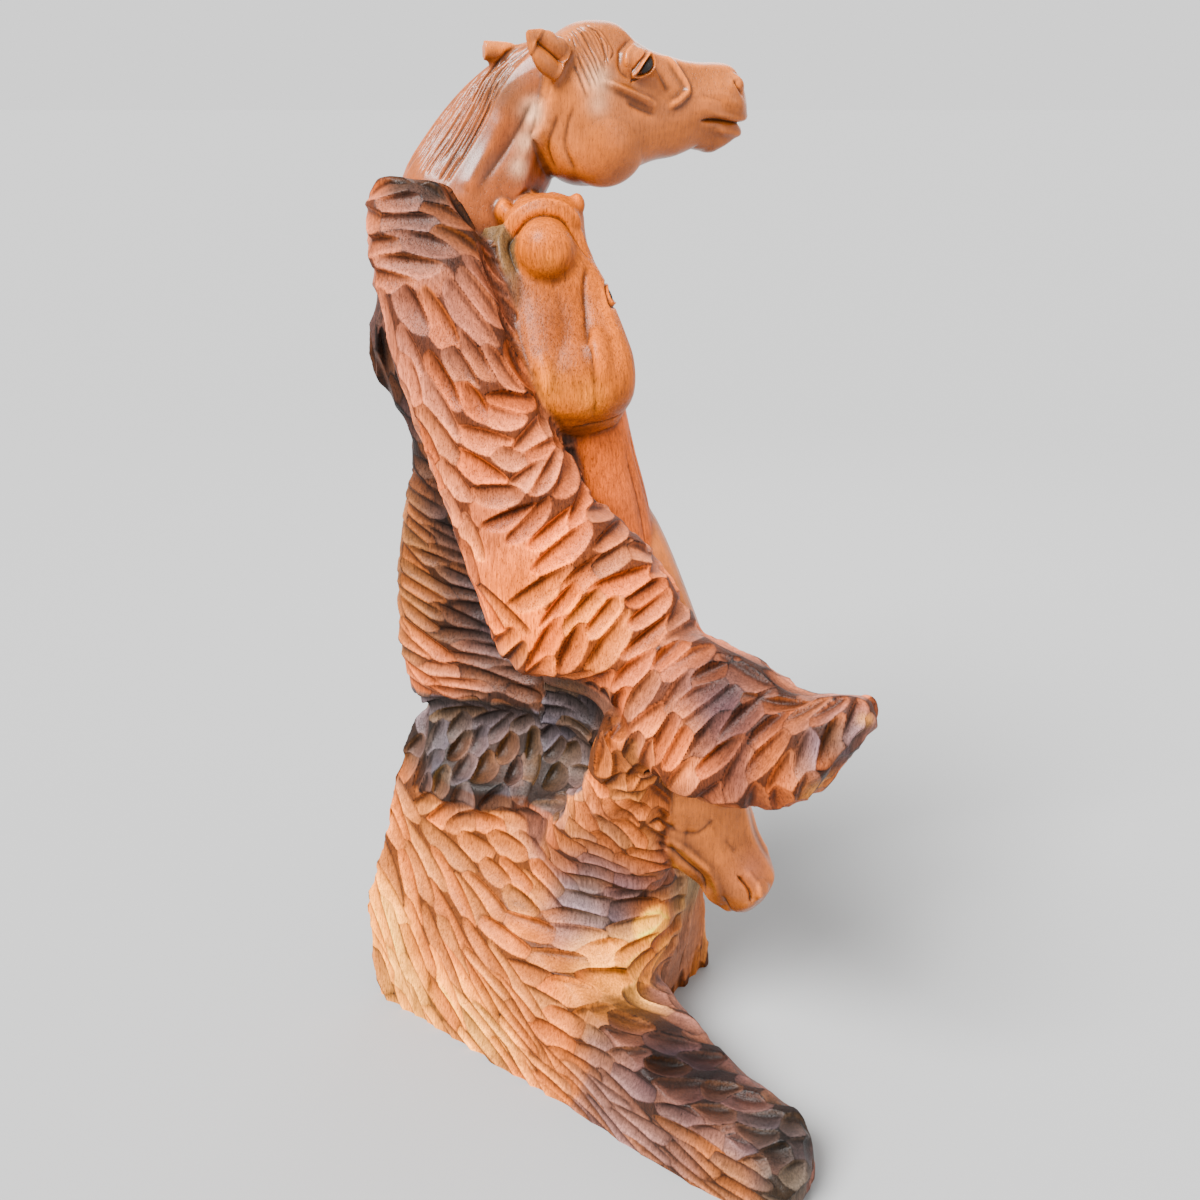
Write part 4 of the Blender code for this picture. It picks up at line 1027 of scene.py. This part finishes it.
# Brushed patches, in the order they go on: centre, how far they reach, stain and strength. A few of them
# lay painted shade
PATCHES = (
    ((-0.21, -0.09, 1.18), 0.11, "rose", 0.9),
    ((-0.2, -0.08, 1.29), 0.075, "tan", 0.85),
    ((-0.06, -0.14, 0.94), 0.11, "rose", 0.3),
    ((-0.08, -0.19, 0.8), 0.09, "amber", 0.8),
    ((0.02, -0.2, 0.76), 0.08, "amber", 0.5),
    ((-0.3, 0.06, 0.8), 0.08, "ochre", 0.8),
    ((-0.3, 0.08, 0.65), 0.08, "ochre", 0.9),
    # Painted shade on the back slab, where it lies behind the front slab
    ((-0.18, 0.04, 0.85), 0.075, "umber", 0.85),
    ((-0.13, 0.03, 0.7), 0.085, "umber", 0.85),
    ((-0.18, 0.05, 0.568), 0.07, "tan", 0.9),
    ((-0.255, 0.06, 0.59), 0.06, "coral", 0.6),
    # Painted shade on the back slab's upper left
    ((-0.31, 0.06, 1.13), 0.05, "umber", 0.6),
    ((-0.29, 0.06, 1.0), 0.06, "umber", 0.7),
    ((0.15, -0.262, 0.69), 0.12, "rose", 0.9),
    ((0.14, -0.262, 0.735), 0.04, "umber", 0.6),
    ((0.16, -0.285, 0.7), 0.046, "maroon", 0.75),
    ((0.192, -0.305, 0.64), 0.036, "maroon", 0.7),
    ((0.215, -0.33, 0.715), 0.03, "umber", 0.5),
    ((0.19, -0.255, 0.765), 0.042, "char", 0.6),
    ((0.235, -0.285, 0.748), 0.036, "char", 0.6),
    ((0.12, -0.2, 0.8), 0.03, "char", 0.5),
    ((0.24, -0.34, 0.66), 0.05, "russet", 0.8),
    ((0.1, -0.25, 0.64), 0.05, "amber", 0.5),
    ((0.29, -0.35, 0.7), 0.056, "tan", 0.9),
    ((0.3, -0.35, 0.715), 0.04, "grey", 0.6),
    ((0.312, -0.345, 0.728), 0.012, "bare", 0.5),
    ((0.322, -0.329, 0.695), 0.022, "brick", 0.8),
    ((0.28, -0.35, 0.62), 0.03, "gold", 0.5),
    ((-0.244, -0.072, 1.325), 0.02, "char", 0.9),
    ((-0.205, -0.072, 1.316), 0.02, "char", 0.9),
    ((-0.165, -0.045, 1.285), 0.022, "char", 0.8),
    ((-0.14, -0.001, 1.25), 0.022, "char", 0.6),
    ((-0.35, 0.09, 0.15), 0.07, "gold", 0.7),
    ((-0.3, 0.06, 0.04), 0.08, "gold", 0.7),
    ((-0.18, -0.04, 0.06), 0.07, "gold", 0.5),
    ((-0.2, 0.02, 0.26), 0.08, "peach", 0.6),
    ((-0.08, -0.04, 0.4), 0.06, "rose", 0.6),
    ((0.04, -0.12, 0.48), 0.06, "rose", 0.6),
    ((-0.015, -0.08, 0.34), 0.07, "grey", 0.85),
    ((-0.04, -0.085, 0.285), 0.05, "grey", 0.8),
    ((0.005, -0.1, 0.275), 0.055, "grey", 0.95),
    ((0.045, -0.1, 0.33), 0.05, "plum", 0.7),
    ((-0.06, -0.06, 0.37), 0.036, "russet", 0.8),
    ((0.01, -0.1, 0.4), 0.05, "plum", 0.45),
    ((0.05, -0.075, 0.29), 0.04, "umber", 0.5),
    ((0.09, -0.068, 0.246), 0.034, "bare", 1.0),
    ((0.094, -0.03, 0.18), 0.026, "gold", 0.8),
    ((-0.02, -0.11, 0.2), 0.06, "russet", 0.55),
    ((0.03, -0.115, 0.175), 0.062, "gold", 0.95),
    ((0.105, -0.05, 0.32), 0.022, "brick", 0.8),
    ((0.128, -0.237, 0.123), 0.095, "maroon", 0.97),
    ((0.256, -0.355, 0.105), 0.085, "soot", 0.97),
    ((0.01, -0.165, 0.15), 0.055, "maroon", 0.7),
    ((-0.09, -0.12, 0.11), 0.05, "peach", 0.7),
    ((0.0, -0.215, 0.06), 0.06, "tan", 0.8),
    ((0.09, -0.29, 0.05), 0.06, "tan", 0.8),
    ((0.17, -0.36, 0.035), 0.05, "ochre", 0.8),
    ((0.25, -0.4, 0.04), 0.045, "olive", 0.8),
    ((0.145, 0.06, 0.26), 0.09, "lichen", 0.95),
    ((0.14, 0.07, 0.1), 0.08, "clay", 0.9),
    ((0.1, -0.12, 0.44), 0.032, "rose", 0.85),
    ((0.098, -0.11, 0.39), 0.032, "rose", 0.85),
    ((0.102, -0.09, 0.34), 0.03, "rose", 0.8),
    ((0.08, 0.02, 1.0), 0.06, "rose", 0.7),
    ((-0.29, 0.12, 0.48), 0.08, "smoke", 0.95),
    ((-0.21, 0.06, 0.4), 0.04, "smoke", 0.6),
    ((0.06, -0.15, 0.46), 0.04, "chestnut", 0.4),
    ((-0.03, -0.13, 0.69), 0.034, "olive", 0.7),
    ((0.02, -0.155, 0.655), 0.046, "tan", 0.9),
    ((0.05, -0.178, 0.625), 0.046, "russet", 0.7),
)
# The same on the polished horses, with painted highlights, painted shade, a painted shadow and a painted
# reflection among them
HORSE_PATCHES = (
    # Painted highlights on the top horse's neck fold, forehead, nose and lip
    ((-0.085, 0.035, 1.401), 0.016, "painted_highlight", 0.8),
    ((-0.097, 0.03, 1.366), 0.014, "painted_highlight", 0.9),
    ((-0.104, 0.03, 1.335), 0.012, "painted_highlight", 0.7),
    ((-0.003, 0.03, 1.442), 0.018, "painted_highlight", 0.7),
    ((-0.005, 0.03, 1.41), 0.014, "painted_highlight", 0.5),
    ((0.136, 0.07, 1.449), 0.014, "painted_highlight", 0.7),
    ((0.13, 0.07, 1.385), 0.01, "painted_highlight", 0.5),
    ((0.0, 0.03, 1.338), 0.036, "honey", 0.6),
    # Painted shade under the top horse's jaw
    ((-0.036, 0.04, 1.316), 0.022, "umber", 0.6),
    ((-0.013, 0.04, 1.48), 0.04, "walnut", 0.5),
    ((-0.127, 0.04, 1.434), 0.034, "olive", 0.5),
    ((-0.17, 0.03, 1.35), 0.045, "walnut", 0.5),
    ((-0.09, 0.03, 1.32), 0.03, "umber", 0.4),
    ((0.058, 0.04, 1.43), 0.022, "walnut", 0.75),
    ((0.085, 0.055, 1.41), 0.024, "walnut", 0.4),
    ((-0.04, 0.03, 1.38), 0.03, "walnut", 0.35),
    ((0.15, 0.12, 1.385), 0.022, "walnut", 0.5),
    ((0.06, 0.03, 1.36), 0.022, "walnut", 0.4),
    ((-0.105, -0.05, 1.19), 0.022, "walnut", 0.6),
    ((-0.1, -0.07, 1.1), 0.022, "chestnut", 0.5),
    ((-0.06, -0.08, 1.15), 0.056, "toffee", 0.95),
    ((-0.05, -0.1, 1.09), 0.04, "toffee", 0.8),
    ((-0.03, -0.07, 1.19), 0.026, "toffee", 0.6),
    # Painted golden reflected light on the middle horse's chin and lobes
    ((-0.062, -0.085, 1.222), 0.016, "painted_gold_bounce", 0.6),
    ((-0.066, -0.105, 1.075), 0.028, "painted_gold_bounce", 0.4),
    ((-0.014, -0.1, 1.066), 0.022, "painted_gold_bounce", 0.6),
    ((-0.02, -0.07, 1.02), 0.022, "walnut", 0.5),
    ((-0.06, -0.06, 1.165), 0.024, "walnut", 0.4),
    # Painted shadow of the limb on the top of the lower head
    ((0.09, -0.11, 0.56), 0.04, "walnut", 0.6),
    ((0.138, -0.13, 0.36), 0.046, "walnut", 0.85),
    ((0.174, -0.13, 0.33), 0.036, "walnut", 0.8),
    ((0.112, -0.14, 0.43), 0.04, "walnut", 0.75),
    ((0.225, -0.12, 0.385), 0.036, "rose", 0.8),
    ((0.196, -0.15, 0.447), 0.03, "walnut", 0.3),
    ((0.06, -0.02, 0.9), 0.06, "rose", 0.5),
)
# How sharp a patch's edge is: a broken chip's, and a brushed one's. The edge wanders with the cuts
CHIP_EDGE = 14
BRUSHED_EDGE = 4
EDGE_FALL = 0.6
EDGE_NEAREST = 0.75
EDGE_WANDER = 0.5
# Each cut took the stain in its own tone and tint, with painted light laid over it: painted shade
# under its steep upper side, a paler, pinker painted sheen on its easy lower side, and a thin
# painted shadow line along its edge
TONE_CHANGE = 0.78
SIDE_SHADING = 0.55
EASY_MIDDLE = 0.45
EASY_SIDE_LIT = 0.9
EDGE_SHADOW = 0.86
TINT_CHANGE = (0.16, -0.22, -1.1)
EASY_SIDE_SHEEN = (-0.05, 0.18, 0.8)
# Painted shade in tight corners, on faces that look down and in broad hollows; what stands out is paler,
# as wear with a painted highlight
DEEP_CORNER = 0.0003
CORNER_SHADE_STRENGTH = 0.55
UNDERSIDE_SHADE = 0.35
WEAR_AND_HIGHLIGHT = 0.25
BEND_SHADE = 0.5
HOLLOW_DARKER = 0.9
EYE_BLACK = 0.5
# The middle horse and the web are rubbed dull
DULLED = 0.85


def attribute(mesh, name, colours):
    """A colour attribute on the points, from their rows of red, green and blue."""
    layer = mesh.attributes.new(name, "FLOAT_COLOR", "POINT")
    rows = np.column_stack((np.clip(colours, 0, 1), np.ones(len(colours))))
    layer.data.foreach_set("color", rows.astype(np.float32).ravel())


def brush(weight, colour):
    """Lay a colour over the wood, by each point's share of it; some colours are painted light and shade.
    """
    stain_and_shading[:] = stain_and_shading * (1 - weight[:, None]) + np.array(STAINS[colour]) * weight[:, None]


stain_and_shading = np.zeros((len(points), 3))
for name, colour in ZONE_STAINS.items():
    stain_and_shading[in_zones(name)] = STAINS[colour]
for channel in range(3):
    stain_and_shading[:, channel] = spread(stain_and_shading[:, channel], rounds=12)
cell_edge = EDGE_NEAREST + EDGE_WANDER * tone
for centre, reach, colour, strength in PATCHES:
    away = np.linalg.norm(points - centre, axis=1) / reach
    edge = CHIP_EDGE if strength == 1 else BRUSHED_EDGE
    brush(strength * np.exp(-(away / cell_edge) ** edge * EDGE_FALL) * (1 - polished), colour)
for centre, reach, colour, strength in HORSE_PATCHES:
    away = np.linalg.norm(points - centre, axis=1) / reach
    brush(strength * np.exp(-away ** 2) * polished, colour)
# The hollow is laid over with the smoke colour and is darker throughout
brush(spread(in_hollow.astype(float), rounds=3) * HOLLOW_DARKER, "smoke")

worked = depth_share[:, None]
# Painted shade under each cut's steep upper side, painted sheen on its easy lower side, and its painted
# edge shadow
lit_side = np.clip(0.5 - SIDE_SHADING * cut_side, 0, 1)[:, None]
shade = 1 + worked * ((tone[:, None] - 0.5) * TONE_CHANGE + (lit_side - EASY_MIDDLE) * EASY_SIDE_LIT
                      - EDGE_SHADOW * ridge[:, None])
tint_and_sheen = 1 + worked * ((tint[:, None] - 0.5) * TINT_CHANGE + (lit_side - 0.5) * EASY_SIDE_SHEEN)
# Painted shade: darker in tight corners and on faces that look down
corner_shade = np.clip(inner_corners(rounds=1) / DEEP_CORNER, 0, 1)[:, None]
downward_shade = np.clip(-normals[:, 2:3], 0, 1)
# Painted shade in broad hollows; paler on what stands out, as wear together with a painted highlight
bend = inner_corners(rounds=8) / CORNER_LIMIT
stain_and_shading *= shade * tint_and_sheen * (1 - CORNER_SHADE_STRENGTH * corner_shade) * (1 - UNDERSIDE_SHADE * downward_shade)
stain_and_shading *= (1 - np.clip(bend, -WEAR_AND_HIGHLIGHT * (1 + polished), BEND_SHADE))[:, None]
# Painted sheen: the top horse is lighter where it faces up
sheen_share = spread(in_zones("neck_top", "head_top").astype(float), rounds=4)[:, None]
stain_and_shading += np.clip(normals[:, 2:3], 0, 1) * sheen_share * UPWARD_SHEEN
stain_and_shading = stain_and_shading * (1 - eyeball[:, None]) + np.array(STAINS["char"]) * eyeball[:, None] * EYE_BLACK
# This attribute holds the stain with the painted shade, shadows, sheen, highlights and reflection in it
attribute(carving, "stain_and_shading", stain_and_shading)
dull = spread(in_zones("web", "head_middle", "neck_middle").astype(float), rounds=6)
shine = polished * (1 - DULLED * dull)
attribute(carving, "polish", np.repeat(shine[:, None], 3, axis=1))
carving.vertices.foreach_set("co", points.astype(np.float32).ravel())

# The wood under the stain: fibres run up the trunk, pores lie along them, and both are shallower
# where the wood is polished

# Cells to the metre in each pattern: to the right, to the back and up, or one number for all three
FIBRES = (330.0, 330.0, 20.0)
FIBRES_LEAN = (0.06, -0.1, 0.0)
PORES = (900.0, 900.0, 110.0)
PORE_SHARE = (0.58, 0.7)
MOTTLE = 22.0
SPECKLE = 620.0
# What the clouds of the wood run between, and what they make of the stain and the shine
FIBRE_SPAN = (0.28, 0.72)
CLOUD_SPAN = (0.3, 0.7)
FIBRE_TONES = (0.6, 1.4)
SPECKLE_TONES = (0.9, 1.1)
PORE_TONES = (1.0, 0.55)
MOTTLE_TONES = (0.74, 1.26)
HEWN_TO_POLISHED = (0.46, 0.3)
MOTTLE_SHINE = (-0.07, 0.07)
SHARE = (0.0, 1.0)
POLISHED_RELIEF = 0.45
RELIEF_STRENGTH = 0.6
RELIEF_DEPTH = 0.0013
VARNISH = 0.34
VARNISH_ROUGHNESS = 0.3
WOOD_SPECULAR = 0.12


def add_node(tree, kind, wires, **settings):
    """Add a node, choose its settings, and wire or set its inputs by name or number."""
    node = tree.nodes.new("ShaderNode" + kind)
    for name, value in settings.items():
        setattr(node, name, value)
    for socket, value in wires.items():
        if isinstance(value, bpy.types.NodeSocket):
            tree.links.new(value, node.inputs[socket])
        else:
            node.inputs[socket].default_value = value
    return node


def noise(tree, place, scale, detail, roughness=0.5):
    """A cloudy value around one half."""
    return add_node(tree, "TexNoise", {"Vector": place, "Scale": scale, "Detail": detail,
                                       "Roughness": roughness}).outputs["Fac"]


def ranged(tree, value, span, result):
    """A value brought from one span to another, and held inside it."""
    return add_node(tree, "MapRange", {"Value": value, "From Min": span[0], "From Max": span[1],
                                       "To Min": result[0], "To Max": result[1]}).outputs["Result"]


def maths(tree, operation, first, second):
    """Arithmetic on two values."""
    return add_node(tree, "Math", {0: first, 1: second}, operation=operation).outputs[0]


grain = bpy.data.node_groups.new("wood_grain", "ShaderNodeTree")
for socket, way, kind in (("Stain_and_shading", "INPUT", "Color"), ("Polish", "INPUT", "Float"),
                          ("Colour", "OUTPUT", "Color"), ("Roughness", "OUTPUT", "Float"),
                          ("Height", "OUTPUT", "Float")):
    grain.interface.new_socket(socket, in_out=way, socket_type="NodeSocket" + kind)
takes = grain.nodes.new("NodeGroupInput").outputs
gives = grain.nodes.new("NodeGroupOutput").inputs
where = add_node(grain, "TexCoord", {}).outputs["Object"]
along_fibres = add_node(grain, "Mapping", {"Vector": where, "Rotation": FIBRES_LEAN, "Scale": FIBRES})
along_pores = add_node(grain, "Mapping", {"Vector": where, "Scale": PORES})
fibres = noise(grain, along_fibres.outputs["Vector"], 1.0, 3.0, 0.6)
pores = ranged(grain, noise(grain, along_pores.outputs["Vector"], 1.0, 1.0), PORE_SHARE, SHARE)
mottle = noise(grain, where, MOTTLE, 5.0, 0.62)
speckle = noise(grain, where, SPECKLE, 2.0)
shallower = ranged(grain, takes["Polish"], SHARE, (1.0, POLISHED_RELIEF))
streaks = maths(grain, "MULTIPLY", ranged(grain, fibres, FIBRE_SPAN, FIBRE_TONES),
                ranged(grain, speckle, CLOUD_SPAN, SPECKLE_TONES))
streaks = maths(grain, "MULTIPLY", streaks, ranged(grain, pores, SHARE, PORE_TONES))
strength = maths(grain, "MULTIPLY", maths(grain, "POWER", streaks, shallower),
                 ranged(grain, mottle, CLOUD_SPAN, MOTTLE_TONES))
tinted = add_node(grain, "VectorMath", {0: takes["Stain_and_shading"], "Scale": strength}, operation="SCALE")
roughness = maths(grain, "ADD", ranged(grain, takes["Polish"], SHARE, HEWN_TO_POLISHED),
                  ranged(grain, mottle, CLOUD_SPAN, MOTTLE_SHINE))
height = maths(grain, "MULTIPLY", maths(grain, "SUBTRACT", fibres, pores), shallower)
for result, socket in ((tinted.outputs[0], "Colour"), (roughness, "Roughness"), (height, "Height")):
    grain.links.new(result, gives[socket])

wood = bpy.data.materials.new("stained_wood")
wood.use_nodes = True
tree = wood.node_tree
surface = tree.nodes["Principled BSDF"].inputs
stained = add_node(tree, "Attribute", {}, attribute_name="stain_and_shading").outputs["Color"]
polish = add_node(tree, "Attribute", {}, attribute_name="polish").outputs["Fac"]
figure = add_node(tree, "Group", {}, node_tree=grain)
relief_normal = add_node(tree, "Bump", {"Height": figure.outputs["Height"], "Strength": RELIEF_STRENGTH,
                                        "Distance": RELIEF_DEPTH}).outputs["Normal"]
for result, socket in ((stained, figure.inputs["Stain_and_shading"]), (polish, figure.inputs["Polish"]),
                       (figure.outputs["Colour"], surface["Base Color"]),
                       (figure.outputs["Roughness"], surface["Roughness"]),
                       (relief_normal, surface["Normal"]),
                       (ranged(tree, polish, SHARE, (0.0, VARNISH)), surface["Coat Weight"])):
    tree.links.new(result, socket)
surface["Coat Roughness"].default_value = VARNISH_ROUGHNESS
surface["Specular IOR Level"].default_value = WOOD_SPECULAR

# The finished carving is one solid of wood, sawn flat underneath. It is kept as seven lengths that
# meet at level planes, because one mesh of it all would be too heavy to handle.

# The share of the skin's faces that is kept, and the heights where the lengths end
FACES_KEPT = 0.36
LEVELS = (0.0, 0.17, 0.36, 0.59, 0.8, 1.04, 1.3, 1.6)


def trimmed(bm, level, upwards):
    """Cut away what is below a level, or above it, and close the cut."""
    way = Vector((0, 0, -1 if upwards else 1))
    cut = bmesh.ops.bisect_plane(bm, geom=bm.verts[:] + bm.edges[:] + bm.faces[:],
                                 plane_co=(0, 0, level), plane_no=way, clear_outer=True)
    rim = [item for item in cut["geom_cut"] if isinstance(item, bmesh.types.BMEdge)]
    for face in bmesh.ops.triangle_fill(bm, edges=rim, use_beauty=True, normal=way)["geom"]:
        if isinstance(face, bmesh.types.BMFace):
            face.smooth = False
    for edge in rim:
        edge.smooth = False


carving.materials.clear()
carving.materials.append(wood)
carving.shade_smooth()
whole = bpy.data.objects.new("whole_carving", carving)
bpy.context.scene.collection.objects.link(whole)
lighter = whole.modifiers.new("lighter", "DECIMATE")
lighter.ratio = FACES_KEPT
graph = bpy.context.evaluated_depsgraph_get()
light_skin = bpy.data.meshes.new_from_object(whole.evaluated_get(graph))
bpy.data.objects.remove(whole, do_unlink=True)
for number, (low, high) in enumerate(zip(LEVELS, LEVELS[1:])):
    length = bmesh.new()
    length.from_mesh(light_skin)
    trimmed(length, low, True)
    if number < len(LEVELS) - 2:
        trimmed(length, high, False)
    piece = placed("carving_%d" % (number + 1), length)
    length.free()
    piece.data.materials.append(wood)
    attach(piece, "root")
    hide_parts("horse_heads_sculpture")

# The setting: a plain pale floor, a broad soft lamp from the front left, a panel of light on the
# right and one behind, and the camera, which looks a little down on the work.

KEY_STRENGTH = 14.0
KEY_SOFTNESS = math.radians(28)
KEY_SHINES = Vector((0.5, 0.62, -0.8))
SKY_STRENGTH = 1.3
# Panels of light: where each is, where it points, and its power
PANELS = (((2.6, -1.6, 1.9), (0.0, 0.0, 0.7), 20), ((0.6, 2.8, 2.4), (0.0, 0.0, 0.9), 40))
PANEL_SIZE = 2.0
FLOOR_HALF = 40
FLOOR_TONE = 0.29
FLOOR_ROUGHNESS = 0.9
CAMERA_PLACE = (0, -1.85, 1.47)
CAMERA_TILT = math.radians(21.3)
CAMERA_LENS = 42
CAMERA_SENSOR = 36


def hung(name, what, place, facing):
    """A lamp hung at a place, shining along a direction."""
    item = bpy.data.objects.new(name, what)
    item.location = place
    item.rotation_euler = facing.to_track_quat("-Z", "Y").to_euler()
    bpy.context.scene.collection.objects.link(item)


key = bpy.data.lights.new("key", "SUN")
key.energy = KEY_STRENGTH
key.angle = KEY_SOFTNESS
hung("key", key, (0, 0, 0), KEY_SHINES)
for place, target, power in PANELS:
    panel = bpy.data.lights.new("panel", "AREA")
    panel.size = PANEL_SIZE
    panel.energy = power
    hung("panel", panel, place, Vector(target) - Vector(place))
world = bpy.data.worlds.new("studio")
world.use_nodes = True
sky = world.node_tree.nodes["Background"].inputs
sky["Color"].default_value = (1, 1, 1, 1)
sky["Strength"].default_value = SKY_STRENGTH
bpy.context.scene.world = world

ground = bmesh.new()
bmesh.ops.create_grid(ground, x_segments=1, y_segments=1, size=FLOOR_HALF)
floor = placed("floor", ground)
ground.free()
paint = bpy.data.materials.new("pale_floor")
paint.use_nodes = True
coat = paint.node_tree.nodes["Principled BSDF"].inputs
coat["Base Color"].default_value = (FLOOR_TONE, FLOOR_TONE, FLOOR_TONE, 1)
coat["Roughness"].default_value = FLOOR_ROUGHNESS
floor.data.materials.append(paint)

lens = bpy.data.cameras.new("camera")
lens.lens = CAMERA_LENS
lens.sensor_width = CAMERA_SENSOR
camera = bpy.data.objects.new("camera", lens)
camera.location = CAMERA_PLACE
camera.rotation_euler = (math.radians(90) - CAMERA_TILT, 0, 0)
bpy.context.scene.collection.objects.link(camera)
bpy.context.scene.camera = camera
